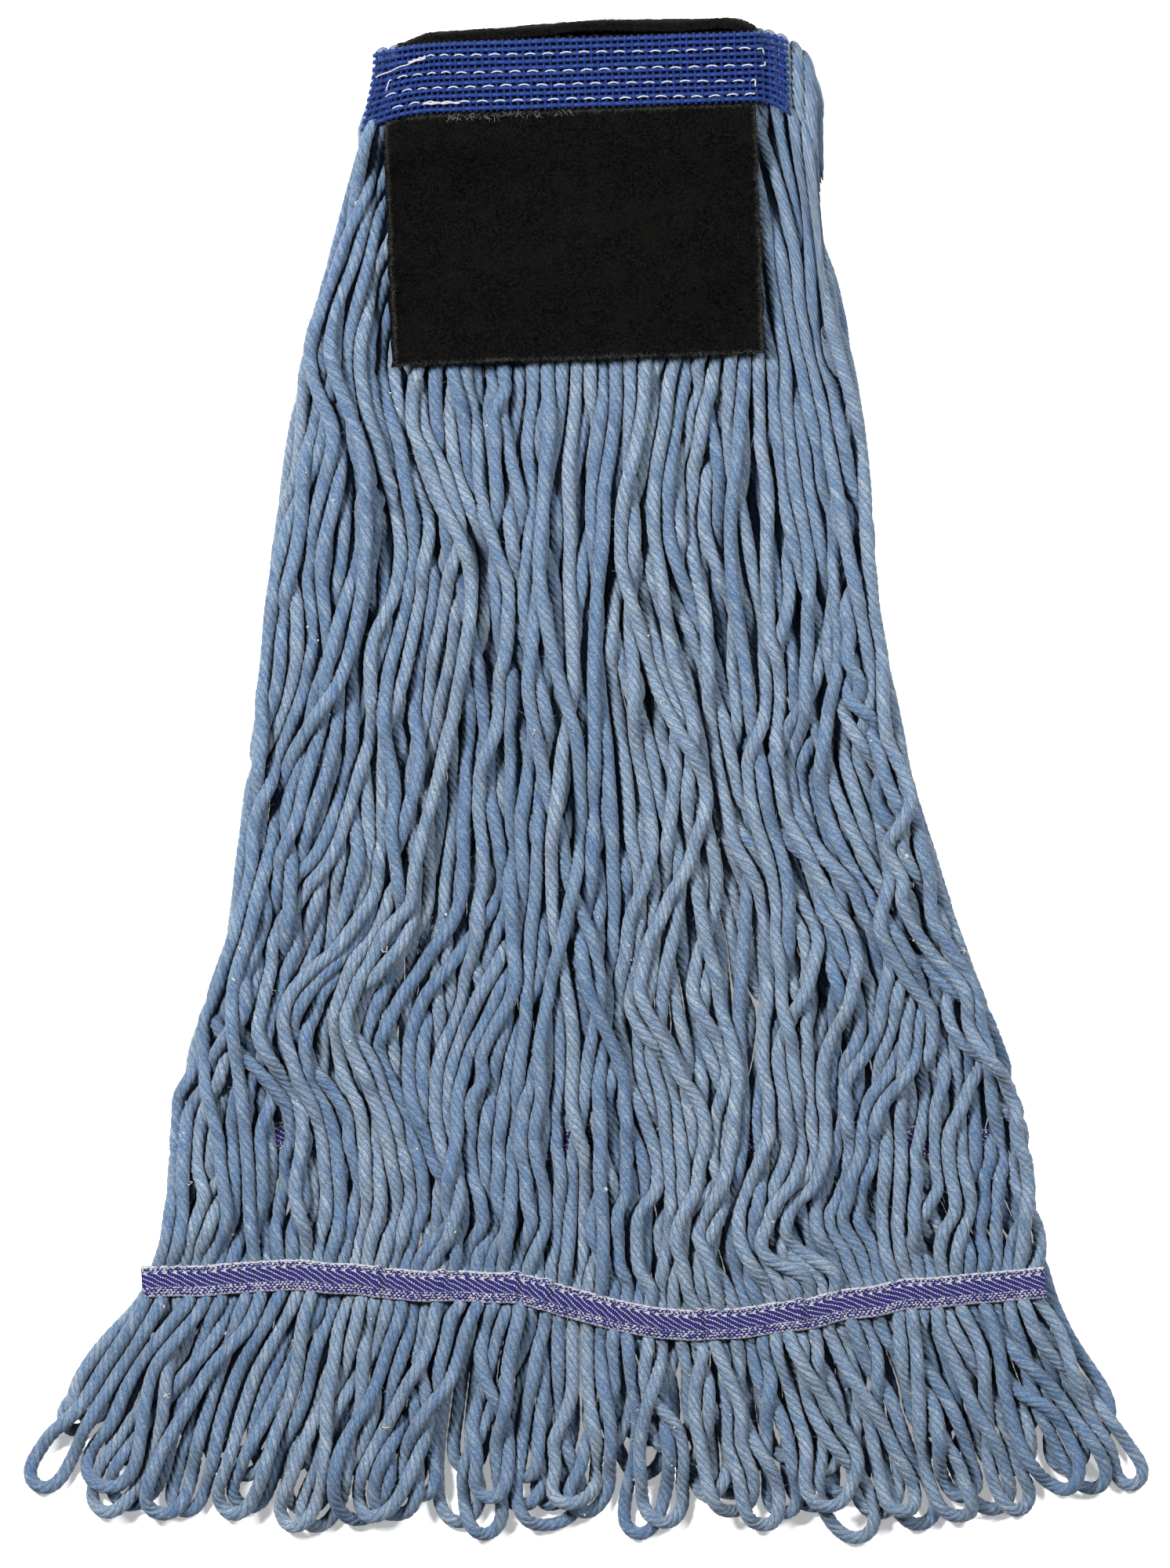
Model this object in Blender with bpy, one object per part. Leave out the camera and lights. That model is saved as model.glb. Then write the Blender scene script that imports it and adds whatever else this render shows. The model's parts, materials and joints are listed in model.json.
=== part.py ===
"""Looped-end string mop head, folded at its headband and lying flat with its front half on top.

The script works in millimetres and scales to metres as it writes vertices and locations.  +Z is up,
+Y runs from the loops to the headband and the yarn fans out along X.  The origin is on the floor under
the middle of the head.  The headband, the scrub pad and the fold share one frame, turned a little
about Z, with u along the band, v across it towards the fold, and z up.
"""

import math

import bmesh
import bpy
from mathutils import Matrix, Vector

MM = 0.001
GAP = 0.3  # clearance between neighbouring pieces
WELD = 1e-6  # metres

# Yarn: one layer of looped strands on each side of the fold.
YARN_DIAMETER = 5.25
STRANDS_PER_HALF = 64
PACKING = 0.82
LOCKS_PER_HALF = 12
FOLD_BENDS = 4
YARN_AREA = STRANDS_PER_HALF * math.pi * YARN_DIAMETER**2 / 4
LOCK_CHAMFER = 0.28  # share of a lock's height cut off its four long edges
LOCK_TIP = 0.56  # share of its width left at a lock's rounded end

# Headband: a one-inch tape outside and a narrower one inside, with the yarn and the pad between them.
BAND_LENGTH = 145.0
BAND_WIDTH = 25.4
INNER_TAPE_WIDTH = 20.7
BAND_CENTRE = (-3.0, 243.9)
BAND_TILT = math.radians(2.0)
TAPE_THICKNESS = 1.2
SEAM_DIAMETER = 0.7
GROOVE_DEPTH = 0.75
THREAD_LIFT = 0.1  # a thread's clearance from the tape under it
SEAM_ROWS = (6.0, 0.0, -4.6, -9.0)
SEAM_U = (-68.5, 64.0)  # the seam's left and right turns
SEAM_ENDS = (-54.0, -38.5)  # where its first row starts and its last one stops
SEAM_TURN = 1.8  # how far a turn reaches beyond its rows
LOWER_TURN_INSET = 2.0
TACK_DIAMETER = 1.1
TACKS = {
    "headband_backtack_start": ((-70.0, 3.2), (-56.0, SEAM_ROWS[0])),
    "headband_backtack_end": ((SEAM_ENDS[0], SEAM_ROWS[3]), (-40.5, SEAM_ROWS[3])),
}

# Scrub pad: five inches wide, laid under the outer tape and folded with the yarn.
PAD_WIDTH = 127.0
PAD_OFFSET = -2.5
PAD_THICKNESS = 2.8
PAD_FLAP_LENGTH = 86.0
PAD_FLAP_DROP = 13.2  # the flap's free edge lies this much lower, on the thinning yarn
PAD_BACK_LENGTH = 64.0

# Heights of the folded stack at the headband, from the floor up.
BACK_YARN_FLOOR = PAD_THICKNESS + GAP
SLOT_FLOOR = 14.2
INNER_TAPE_Z = 22.0
SEWN_YARN_Z = (INNER_TAPE_Z + TAPE_THICKNESS + GAP, 32.6)
PAD_Z = SEWN_YARN_Z[1] + GAP
OUTER_TAPE_Z = PAD_Z + PAD_THICKNESS + GAP
BAND_TOP = OUTER_TAPE_Z + TAPE_THICKNESS
FOLD_AXIS_V = 15.0
FOLD_AXIS_Z = BAND_TOP / 2
FOLD_END_V = 4.0  # where the stiff halves stop and the bend of the fold starts
FOLD_REACH_V = 16.8
FOLD_YARN_WALL = 3.7  # thickness of the yarn at the outside of its bend
CORNER_STEPS = 3
UNDER_BAND = (BAND_CENTRE[1] + FOLD_END_V - GAP, BAND_CENTRE[1] - BAND_WIDTH / 2)

# Tail bands: a half-inch tape above and below the yarn of each half.
TAIL_WIDTH = 10.5
TAIL_THICKNESS = 0.8
TAIL_THREAD = 0.6
TAIL_SEAM_INSET = 1.2
TAIL_YARN_THICKNESS = 4.4
FREE_YARN_THICKNESS = 5.2  # the loose ends beyond a tail band

# The yarn's outline: distance along Y, then its left and right edges.
FAN = (
    (227.0, -76.5, 80.5),
    (190.0, -84.0, 82.0),
    (148.0, -94.0, 88.0),
    (80.0, -104.0, 95.5),
    (0.0, -116.0, 113.0),
    (-54.0, -123.5, 130.0),
    (-105.0, -141.0, 149.0),
    (-140.0, -144.0, 155.0),
    (-158.0, -146.0, 158.0),
    (-198.0, -165.0, 168.0),
    (-238.0, -194.0, 194.0),
)
FRONT_TAIL = (
    (-152, -171), (-121, -169.4), (-85, -168), (-71, -172.4), (-25, -171.6), (-15, -176),
    (14, -183), (39, -187.6), (57, -183.6), (74, -182), (111, -174.7), (158, -171),
)
BACK_TAIL = ((-138, -120), (-101, -121.5), (-20, -126), (60, -121), (138, -124))
LOOSE_YARN_Y = (178.0, 158.0, 80.0, 0.0, -54.0, -100.0)  # stations between the headband and the tail bands
BACK_TAIL_Y = (-110.0, -137.0)  # where the yarn enters and leaves the back tail band
OVER_BACK_TAIL_Y = (-108.0, -140.0)
FRONT_TAIL_Y = (-156.0, -200.0)
BACK_END_Y = -150.0

# The loops: lowest y in the middle, rise towards the sides, underside, and spread.
FRONT_TIPS = (-262.6, 21.0, 0.2, 1.0)
BACK_TIPS = (-223.0, 12.0, 0.0, 0.84)

YARN = ("mop_yarn", (0.42, 0.50, 0.59), 0.95)
BAND_BLUE = ("headband_mesh_tape", (0.03, 0.07, 0.42), 0.7)
PAD_BLACK = ("scrub_pad_nonwoven", (0.012, 0.013, 0.013), 0.95)
THREAD_WHITE = ("white_sewing_thread", (0.78, 0.79, 0.82), 0.7)
TAIL_VIOLET = ("herringbone_tail_tape", (0.20, 0.18, 0.42), 0.85)


def clear_scene():
    for obj in list(bpy.data.objects):
        bpy.data.objects.remove(obj, do_unlink=True)


def new_collection(name):
    collection = bpy.data.collections.new(name)
    bpy.context.scene.collection.children.link(collection)
    return collection


def material(name, colour, roughness):
    mat = bpy.data.materials.new(name)
    mat.use_nodes = True
    shader = mat.node_tree.nodes["Principled BSDF"]
    shader.inputs["Base Color"].default_value = (*colour, 1)
    shader.inputs["Roughness"].default_value = roughness
    return mat


def place(name, data, collection, look, parent):
    """Puts data into the scene as an object whose coordinates are its parent's."""
    obj = bpy.data.objects.new(name, data)
    collection.objects.link(obj)
    obj.parent = parent
    data.materials.append(material(f"{name}_{look[0]}", look[1], look[2]))
    return obj


def empty(name, collection, location, tilt=0.0, parent=None):
    obj = bpy.data.objects.new(name, None)
    collection.objects.link(obj)
    obj.location = Vector(location) * MM
    obj.rotation_euler = (0, 0, tilt)
    obj.parent = parent
    return obj


def loft(name, rings):
    """A closed mesh through rings that all have the same number of points."""
    mesh = bpy.data.meshes.new(name)
    bm = bmesh.new()
    loops = [[bm.verts.new(Vector(p) * MM) for p in ring] for ring in rings]
    count = len(rings[0])
    for a, b in zip(loops, loops[1:]):
        for i in range(count):
            j = (i + 1) % count
            bm.faces.new((a[i], a[j], b[j], b[i]))
    bm.faces.new(loops[0])
    bm.faces.new(list(reversed(loops[-1])))
    bmesh.ops.recalc_face_normals(bm, faces=bm.faces)
    bmesh.ops.triangulate(bm, faces=bm.faces)
    bm.to_mesh(mesh)
    bm.free()
    return mesh


def box(name, low, high):
    """A box between two opposite corners."""
    mesh = bpy.data.meshes.new(name)
    low, high = Vector(low) * MM, Vector(high) * MM
    bm = bmesh.new()
    bmesh.ops.create_cube(bm, matrix=Matrix.LocRotScale((low + high) / 2, None, high - low))
    bm.to_mesh(mesh)
    bm.free()
    return mesh


def flat_outline(name, points, thickness):
    """A filled outline in its own XY plane, from z = 0 up to thickness."""
    curve = bpy.data.curves.new(name, "CURVE")
    curve.dimensions = "2D"
    curve.fill_mode = "BOTH"
    curve.extrude = thickness / 2 * MM
    spline = curve.splines.new("POLY")
    spline.points.add(len(points) - 1)
    for point, (x, y) in zip(spline.points, points):
        point.co = (x * MM, y * MM, 0, 1)
    spline.use_cyclic_u = True
    return curve


def thread(name, points, diameter):
    """A round thread along points, with flat closed ends."""
    curve = bpy.data.curves.new(name, "CURVE")
    curve.dimensions = "3D"
    curve.bevel_depth = diameter / 2 * MM
    curve.bevel_resolution = 2
    curve.use_fill_caps = True
    spline = curve.splines.new("POLY")
    spline.points.add(len(points) - 1)
    for point, co in zip(spline.points, points):
        point.co = (*(Vector(co) * MM), 1)
    spline.use_smooth = True
    return curve


def offset_path(points, distance):
    """The path moved sideways to its left, mitred at each point."""
    path = [Vector(p) for p in points]
    moved = []
    for i, here in enumerate(path):
        before = (here - path[i - 1]).normalized() if i else None
        after = (path[i + 1] - here).normalized() if i + 1 < len(path) else None
        along = ((before or after) + (after or before)).normalized()
        side = Vector((-along.y, along.x))
        turn = (before or after).dot(along)
        moved.append(here + side * distance / turn)
    return moved


def ribbon_outline(points, width):
    return offset_path(points, width / 2) + offset_path(points, -width / 2)[::-1]


def outline_mesh(name, points, thickness, z):
    """A filled outline as a welded mesh whose middle plane is at height z."""
    curve = flat_outline(name, points, thickness)
    holder = bpy.data.objects.new(name, curve)
    depsgraph = bpy.context.evaluated_depsgraph_get()
    mesh = bpy.data.meshes.new_from_object(holder.evaluated_get(depsgraph))
    bpy.data.objects.remove(holder)
    bm = bmesh.new()
    bm.from_mesh(mesh)
    bmesh.ops.remove_doubles(bm, verts=bm.verts, dist=WELD)
    bmesh.ops.translate(bm, verts=bm.verts, vec=(0, 0, z * MM))
    bm.to_mesh(mesh)
    bm.free()
    return mesh


def fan_edges(y):
    """Left and right edges of the yarn at y."""
    if y >= FAN[0][0]:
        return FAN[0][1:]
    for (y0, left0, right0), (y1, left1, right1) in zip(FAN, FAN[1:]):
        if y >= y1:
            t = (y0 - y) / (y0 - y1)
            return left0 + (left1 - left0) * t, right0 + (right1 - right0) * t
    return FAN[-1][1:]


def yarn_thickness(y):
    left, right = fan_edges(y)
    return YARN_AREA / (PACKING * (right - left))


def section(x0, x1, y, z0, z1, lean=0.0):
    """Eight points of a chamfered rectangle across the yarn; lean follows the band's tilt."""
    cut = LOCK_CHAMFER * (z1 - z0)
    corners = (
        (x0 + cut, z0), (x1 - cut, z0), (x1, z0 + cut), (x1, z1 - cut),
        (x1 - cut, z1), (x0 + cut, z1), (x0, z1 - cut), (x0, z0 + cut),
    )
    return [(x, y + lean * (x - BAND_CENTRE[0]), z) for x, z in corners]


def back_heights():
    """Stations of the back half: y, underside, top."""
    over_pad = [(y, BACK_YARN_FLOOR, SLOT_FLOOR) for y in UNDER_BAND]
    flap_end, *on_floor = LOOSE_YARN_Y
    over_pad.append((flap_end, BACK_YARN_FLOOR, BACK_YARN_FLOOR + yarn_thickness(flap_end)))
    lying = [(y, 0.0, yarn_thickness(y)) for y in on_floor]
    tail_floor = TAIL_THICKNESS + 2 * GAP
    in_tail = [(y, tail_floor, tail_floor + TAIL_YARN_THICKNESS) for y in BACK_TAIL_Y]
    return over_pad + lying + in_tail + [(BACK_END_Y, 0.0, FREE_YARN_THICKNESS)]


def front_heights():
    """Stations of the front half, which lies on the back one: y, underside, top."""
    sewn = [(y, *SEWN_YARN_Z) for y in UNDER_BAND]
    lying = []
    for y, _, top in back_heights()[2:8]:
        lying.append((y, top + 2 * GAP, top + 2 * GAP + yarn_thickness(y)))
    back_tail_top = 2 * TAIL_THICKNESS + 4 * GAP + TAIL_YARN_THICKNESS + TAIL_THREAD
    over_tail = [(y, back_tail_top, back_tail_top + yarn_thickness(y)) for y in OVER_BACK_TAIL_Y]
    floor = FREE_YARN_THICKNESS + TAIL_THICKNESS + 3 * GAP
    in_tail = [(y, floor, floor + TAIL_YARN_THICKNESS) for y in FRONT_TAIL_Y]
    return sewn + lying + over_tail + in_tail


def lock_mesh(name, index, stations, tip, splay):
    """One lock: a slice of the yarn from the fold's edge, through the tail band, to its looped ends.

    tip is the (y, z) of the loops' lowest point and splay scales how wide they spread there.
    """
    share = (index / LOCKS_PER_HALF, (index + 1) / LOCKS_PER_HALF)
    lean = math.tan(BAND_TILT)
    rings = []
    for number, (y, z0, z1) in enumerate(stations):
        left, right = fan_edges(y)
        x0, x1 = (left + (right - left) * s for s in share)
        rings.append(section(x0 + GAP, x1 - GAP, y, z0, z1, lean if number < 2 else 0.0))
    left, right = FAN[-1][1:]
    x0, x1 = (splay * (left + (right - left) * s) for s in share)
    tip_y, tip_z = tip
    _, tail_floor, tail_top = stations[-1]
    bend_y, rest_y = tip_y + 4 * YARN_DIAMETER, tip_y + 1.5 * YARN_DIAMETER
    rings.append(section(x0 + 1, x1 - 1, bend_y, max(tail_floor, tip_z), tail_top))
    rings.append(section(x0, x1, rest_y, tip_z, tip_z + YARN_DIAMETER))
    middle, reach = (x0 + x1) / 2, LOCK_TIP * (x1 - x0) / 2
    rings.append(section(middle - reach, middle + reach, tip_y, tip_z + 1, tip_z + YARN_DIAMETER - 1))
    return loft(name, rings)


def side_rise(index):
    """How much higher a lock's tip lies than the middle one's, 0 at the middle and 1 at the sides."""
    return abs(2 * (index + 0.5) / LOCKS_PER_HALF - 1) ** 2.5


def add_locks(collection, back_parent, front_parent):
    halves = (
        ("front", front_heights(), FRONT_TIPS, front_parent),
        ("back", back_heights(), BACK_TIPS, back_parent),
    )
    for i in range(LOCKS_PER_HALF):
        for half, stations, (tip_y, rise, tip_z, splay), parent in halves:
            name = f"{half}_yarn_lock_{i + 1:02d}"
            mesh = lock_mesh(name, i, stations, (tip_y + rise * side_rise(i), tip_z), splay)
            to_parent(place(name, mesh, collection, YARN, parent))


def to_parent(obj):
    """Keeps vertices given in floor coordinates where they are under a moved parent."""
    here = Matrix.Identity(4)
    up = obj.parent
    while up:
        here = Matrix.LocRotScale(up.location, up.rotation_euler, None) @ here
        up = up.parent
    obj.data.transform(here.inverted())


def seam_path():
    """The serpentine lockstitch: four rows joined right, left, right."""
    first, second, third, fourth = SEAM_ROWS
    left, right = SEAM_U
    low = right - LOWER_TURN_INSET
    return [
        (SEAM_ENDS[0], first), (right, first), (right + SEAM_TURN, (first + second) / 2), (right, second),
        (left, second), (left - SEAM_TURN, (second + third) / 2), (left, third),
        (low, third), (low + SEAM_TURN, (third + fourth) / 2), (low, fourth), (SEAM_ENDS[1], fourth),
    ]


def cut_groove(tape, name, points, width, z, cutters):
    """Cuts a groove, open towards z, that takes a thread flush with the tape's face."""
    mesh = outline_mesh(name, ribbon_outline(points, width), 2 * GROOVE_DEPTH, z)
    cutter = bpy.data.objects.new(name, mesh)
    cutters.objects.link(cutter)
    cutter.parent = tape.parent
    cutter.hide_render = True
    cutter.display_type = "WIRE"
    cut = tape.modifiers.new(name, "BOOLEAN")
    cut.operation = "DIFFERENCE"
    cut.solver = "EXACT"
    cut.object = cutter


def add_headband(collection, cutters, parent):
    end, lower = BAND_LENGTH / 2, -BAND_WIDTH / 2
    tapes = (
        ("outer", BAND_WIDTH, OUTER_TAPE_Z, BAND_TOP),
        ("inner", INNER_TAPE_WIDTH, INNER_TAPE_Z, INNER_TAPE_Z),
    )
    for side, width, z, face in tapes:
        name = f"headband_{side}_tape"
        mesh = box(name, (-end, lower, z), (end, lower + width, z + TAPE_THICKNESS))
        tape = place(name, mesh, collection, BAND_BLUE, parent)
        cut_groove(tape, f"{side}_seam_groove", seam_path(), SEAM_DIAMETER + 2 * GAP, face, cutters)
        if side == "outer":
            for tack, points in TACKS.items():
                cut_groove(tape, f"{tack}_groove", points, TACK_DIAMETER + 2 * GAP, face, cutters)
    sink = GROOVE_DEPTH - SEAM_DIAMETER / 2 - THREAD_LIFT
    for name, z in (("seam", BAND_TOP - sink), ("bobbin", INNER_TAPE_Z + sink)):
        name = f"headband_{name}_thread"
        points = [(u, v, z) for u, v in seam_path()]
        place(name, thread(name, points, SEAM_DIAMETER), collection, THREAD_WHITE, parent)
    for name, points in TACKS.items():
        inset = (Vector(points[1]) - Vector(points[0])).normalized() * GAP
        ends = (Vector(points[0]) + inset, Vector(points[1]) - inset)
        z = BAND_TOP - GROOVE_DEPTH + TACK_DIAMETER / 2 + THREAD_LIFT
        data = thread(name, [(*p, z) for p in ends], TACK_DIAMETER)
        place(name, data, collection, THREAD_WHITE, parent)


def stand_on_edge(obj, u0):
    """Turns an outline drawn in (v, z) so that it is extruded along u, starting at u0."""
    obj.matrix_local = Matrix(((0, 0, 1, u0 * MM), (1, 0, 0, 0), (0, 1, 0, 0), (0, 0, 0, 1)))


def corner(centre, radii, start, end):
    """A quarter of an ellipse in (v, z) between two angles in degrees."""
    angles = [math.radians(start + (end - start) * i / CORNER_STEPS) for i in range(CORNER_STEPS + 1)]
    return [(centre[0] + radii[0] * math.cos(a), centre[1] + radii[1] * math.sin(a)) for a in angles]


def bend(start, reach, low, high, top_radii, low_radii):
    """One face of a fold: from v = start at height high, round to the same v at height low."""
    top = corner((reach - top_radii[0], high - top_radii[1]), top_radii, 90, 0)
    bottom = corner((reach - low_radii[0], low + low_radii[1]), low_radii, 0, -90)
    return [(start, high)] + top + bottom + [(start, low)]


def fold_yarn_outline():
    """The yarn's bend from the sewn layer round to the back layer, as a C in (v, z)."""
    start = FOLD_END_V + GAP
    reach = FOLD_REACH_V - PAD_THICKNESS - GAP - THREAD_LIFT
    outside = bend(start, reach, BACK_YARN_FLOOR, SEWN_YARN_Z[1], (4.6, 6.6), (4.6, 7.7))
    inside = bend(start, reach - FOLD_YARN_WALL, SLOT_FLOOR, SEWN_YARN_Z[0], (1.0, 2.5), (1.5, 3.0))
    return outside + inside[::-1]


def fold_pad_outline():
    """The pad's bend over the yarn, from the headband's edge round to the back flap."""
    start, end = BAND_WIDTH / 2, FOLD_END_V + GAP
    reach = FOLD_REACH_V - PAD_THICKNESS
    outside = bend(start, FOLD_REACH_V, 0.1, PAD_Z + PAD_THICKNESS, (FOLD_REACH_V - start, 5.8), (5.6, 7.9))
    inside = bend(start, reach, PAD_THICKNESS, PAD_Z, (reach - start, 3.0), (2.5, 5.2))
    outside[-1], inside[-1] = (end, outside[-1][1]), (end, inside[-1][1])
    return outside[1:] + inside[:0:-1]


def add_fold(collection, parent):
    """Yarn and pad where they bend; they belong to the back half and change shape as it opens."""
    left, right = (x - BAND_CENTRE[0] for x in FAN[0][1:])
    width = (right - left) / FOLD_BENDS
    for i in range(FOLD_BENDS):
        name = f"fold_yarn_bend_{i + 1}"
        data = flat_outline(name, fold_yarn_outline(), width - 2 * GAP)
        stand_on_edge(place(name, data, collection, YARN, parent), left + (i + 0.5) * width)
    name = "scrub_pad_fold"
    data = flat_outline(name, fold_pad_outline(), PAD_WIDTH)
    stand_on_edge(place(name, data, collection, PAD_BLACK, parent), PAD_OFFSET)


def add_pad(collection, fold_frame, flap_frame, back_frame):
    half = BAND_WIDTH / 2
    u0, u1 = PAD_OFFSET - PAD_WIDTH / 2, PAD_OFFSET + PAD_WIDTH / 2
    name = "scrub_pad_core"
    mesh = box(name, (u0, GAP - half, PAD_Z), (u1, half - GAP, PAD_Z + PAD_THICKNESS))
    place(name, mesh, collection, PAD_BLACK, fold_frame)
    name = "scrub_pad_back_flap"
    edge = FOLD_END_V - GAP
    mesh = box(name, (u0, edge - PAD_BACK_LENGTH, 0), (u1, edge, PAD_THICKNESS))
    place(name, mesh, collection, PAD_BLACK, back_frame)
    name = "scrub_pad_front_flap"
    mesh = box(name, (u0, -PAD_FLAP_LENGTH, 0), (u1, 0, PAD_THICKNESS))
    flap = place(name, mesh, collection, PAD_BLACK, flap_frame)
    flap.location = Vector((0, -GAP, PAD_Z - BAND_TOP - GAP)) * MM
    flap.rotation_euler.x = math.asin(PAD_FLAP_DROP / PAD_FLAP_LENGTH)


def add_tail(collection, half, points, floor, parent):
    """Two tapes above and below the yarn, and the seam thread along the upper one's headband edge."""
    layers = (("lower", floor), ("upper", floor + TAIL_THICKNESS + 2 * GAP + TAIL_YARN_THICKNESS))
    for side, z in layers:
        name = f"{half}_tail_tape_{side}"
        outline = ribbon_outline(points, TAIL_WIDTH)
        mesh = outline_mesh(name, outline, TAIL_THICKNESS, z + TAIL_THICKNESS / 2)
        to_parent(place(name, mesh, collection, TAIL_VIOLET, parent))
    z = layers[1][1] + TAIL_THICKNESS + THREAD_LIFT + TAIL_THREAD / 2
    seam = [(x, y, z) for x, y in offset_path(points, TAIL_WIDTH / 2 - TAIL_SEAM_INSET)]
    name = f"{half}_tail_seam_thread"
    to_parent(place(name, thread(name, seam, TAIL_THREAD), collection, THREAD_WHITE, parent))


def build():
    clear_scene()
    mop = new_collection("string_mop_head")
    cutters = new_collection("cutters")
    cutters.hide_render = True
    centre = Vector((*BAND_CENTRE, 0))
    back = empty("back_half_frame", mop, centre, BAND_TILT)
    across = Vector((-math.sin(BAND_TILT), math.cos(BAND_TILT), 0))
    hinge = centre + across * FOLD_AXIS_V + Vector((0, 0, FOLD_AXIS_Z))
    front = empty("head_fold_axis", mop, hinge, BAND_TILT)
    band = empty("headband_frame", mop, (0, -FOLD_AXIS_V, -FOLD_AXIS_Z), parent=front)
    flap = empty("front_pad_lift_axis", mop, (0, -BAND_WIDTH / 2, BAND_TOP + GAP), parent=band)
    add_locks(mop, back, front)
    add_headband(mop, cutters, band)
    add_fold(mop, back)
    add_pad(mop, band, flap, back)
    add_tail(mop, "back", BACK_TAIL, GAP, back)
    add_tail(mop, "front", FRONT_TAIL, FREE_YARN_THICKNESS + 2 * GAP, front)


build()
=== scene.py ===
"""Looks of the string mop head: every strand of yarn, the woven tapes, the seams and the scrub pad.

Lengths are in millimetres until a mesh is made.  u and v run along and across the headband.
"""

import json
import math

import bpy
import numpy as np
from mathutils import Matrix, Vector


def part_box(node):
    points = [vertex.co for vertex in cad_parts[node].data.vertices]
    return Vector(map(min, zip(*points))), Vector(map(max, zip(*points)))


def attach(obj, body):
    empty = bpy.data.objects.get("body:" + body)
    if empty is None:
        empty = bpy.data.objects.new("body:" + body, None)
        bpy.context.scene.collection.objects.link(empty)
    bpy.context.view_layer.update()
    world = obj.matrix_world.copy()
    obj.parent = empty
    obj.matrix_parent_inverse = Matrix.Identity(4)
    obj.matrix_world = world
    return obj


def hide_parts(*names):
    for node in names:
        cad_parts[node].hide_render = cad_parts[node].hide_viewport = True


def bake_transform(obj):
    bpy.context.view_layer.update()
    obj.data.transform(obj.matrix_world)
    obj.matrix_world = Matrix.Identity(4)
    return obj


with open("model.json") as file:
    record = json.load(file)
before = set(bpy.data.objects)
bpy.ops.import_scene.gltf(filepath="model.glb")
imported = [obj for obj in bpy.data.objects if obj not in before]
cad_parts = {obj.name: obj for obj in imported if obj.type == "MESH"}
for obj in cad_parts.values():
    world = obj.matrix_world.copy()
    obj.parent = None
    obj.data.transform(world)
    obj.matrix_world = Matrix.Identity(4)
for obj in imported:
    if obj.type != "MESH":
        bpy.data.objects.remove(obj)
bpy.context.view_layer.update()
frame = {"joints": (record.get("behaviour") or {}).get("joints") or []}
MM = 0.001
SEED = 11


# ---- the frame's sizes and places


def node_box(name):
    low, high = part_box(name)
    return np.array(low) / MM, np.array(high) / MM


fold_joint = next(j for j in frame["joints"] if j["name"] == "head_fold")
TILT = math.atan2(-fold_joint["axis"][1], -fold_joint["axis"][0])
tape_low, tape_high = node_box("headband_outer_tape")
BAND_CENTRE = (tape_low + tape_high)[:2] / 2
BAND_WIDTH = 25.4
BAND_EDGE = -BAND_WIDTH / 2  # v of the headband's lower edge
INNER_WIDTH = 20.7
TAPE_Z = (tape_low[2], tape_high[2])
INNER_Z = (node_box("headband_inner_tape")[0][2], node_box("headband_inner_tape")[1][2])
SEWN = (INNER_Z[1] + 0.2, node_box("front_yarn_lock_06")[1][2])
BACK_STACK = (node_box("scrub_pad_back_flap")[1][2] + 0.2, node_box("back_yarn_lock_06")[1][2])
FOLD_END_V = 4.0
FOLD_Z = fold_joint["pos_m"][2] / MM
PAD_U = (-66.0, 61.0)
PAD_Z = (node_box("scrub_pad_core")[0][2], node_box("scrub_pad_core")[1][2])
PAD_REACH = 16.8
PAD_FLAP = 86.0

YARN = 4.85
STRANDS = 72  # in each half
CHAINS = STRANDS // 2  # two strands and the loop that joins them
LOCKS = 12  # CAD solids that a half's yarn replaces
FAN = np.array([  # y, and the left and right x of the yarn there
    (227, -76.5, 80.5), (212, -82, 86.5), (190, -89, 89.5), (165, -95, 91.5), (110, -104, 97.5),
    (60, -110, 101), (0, -117, 113), (-54, -123.5, 130), (-105, -142, 150), (-140, -144, 157),
    (-158, -146, 159), (-176, -152, 161), (-193, -169, 173), (-210, -180, 187), (-238, -196, 196),
])
TAIL = {  # x and y of each tail tape's middle line
    "front": np.array([
        (-152, -171), (-121, -169.4), (-85, -168), (-71, -172.4), (-25, -171.6), (-15, -176),
        (14, -183), (39, -187.6), (57, -183.6), (74, -182), (111, -174.7), (158, -171),
    ]),
    "back": np.array([(-138, -120), (-101, -121.5), (-20, -126), (60, -121), (138, -124)]),
}
TAIL_WIDTH = 10.5
TAIL_INSET = 3.0  # the outermost strands lie this far inside a tape's ends
TAIL_KINKS = (-71.0, -49.0, -24.0, -14.0, 39.0, 74.0)  # where the front tape puckers

CORNER_FALL = 28.0  # mm that a corner would fall at the far end of its curve
RIGHT_CURVE = (58.0, 24.5)  # where the right corner starts to fall, and over what width
LEFT_CURVE = (-52.0, 38.0)
CURVE_LIMIT = 0.97
BAND_SETTLED = 1.3  # the headband lies this much lower than the CAD's


def on_band(u, v, z):
    """Points of the headband's frame as floor coordinates."""
    u, v, z = np.broadcast_arrays(*(np.asarray(a, float) for a in (u, v, z)))
    x = BAND_CENTRE[0] + u * math.cos(TILT) - v * math.sin(TILT)
    y = BAND_CENTRE[1] + u * math.sin(TILT) + v * math.cos(TILT)
    return np.stack([x, y, z], axis=-1)


def to_band(points):
    """The u and v of floor coordinates in the headband's frame."""
    dx, dy = points[..., 0] - BAND_CENTRE[0], points[..., 1] - BAND_CENTRE[1]
    return dx * math.cos(TILT) + dy * math.sin(TILT), dy * math.cos(TILT) - dx * math.sin(TILT)


def fan_edges(y):
    left = np.interp(y, FAN[::-1, 0], FAN[::-1, 1])
    right = np.interp(y, FAN[::-1, 0], FAN[::-1, 2])
    return left, right


def tail_y_at(half, x):
    return np.interp(x, TAIL[half][:, 0], TAIL[half][:, 1])


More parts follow.
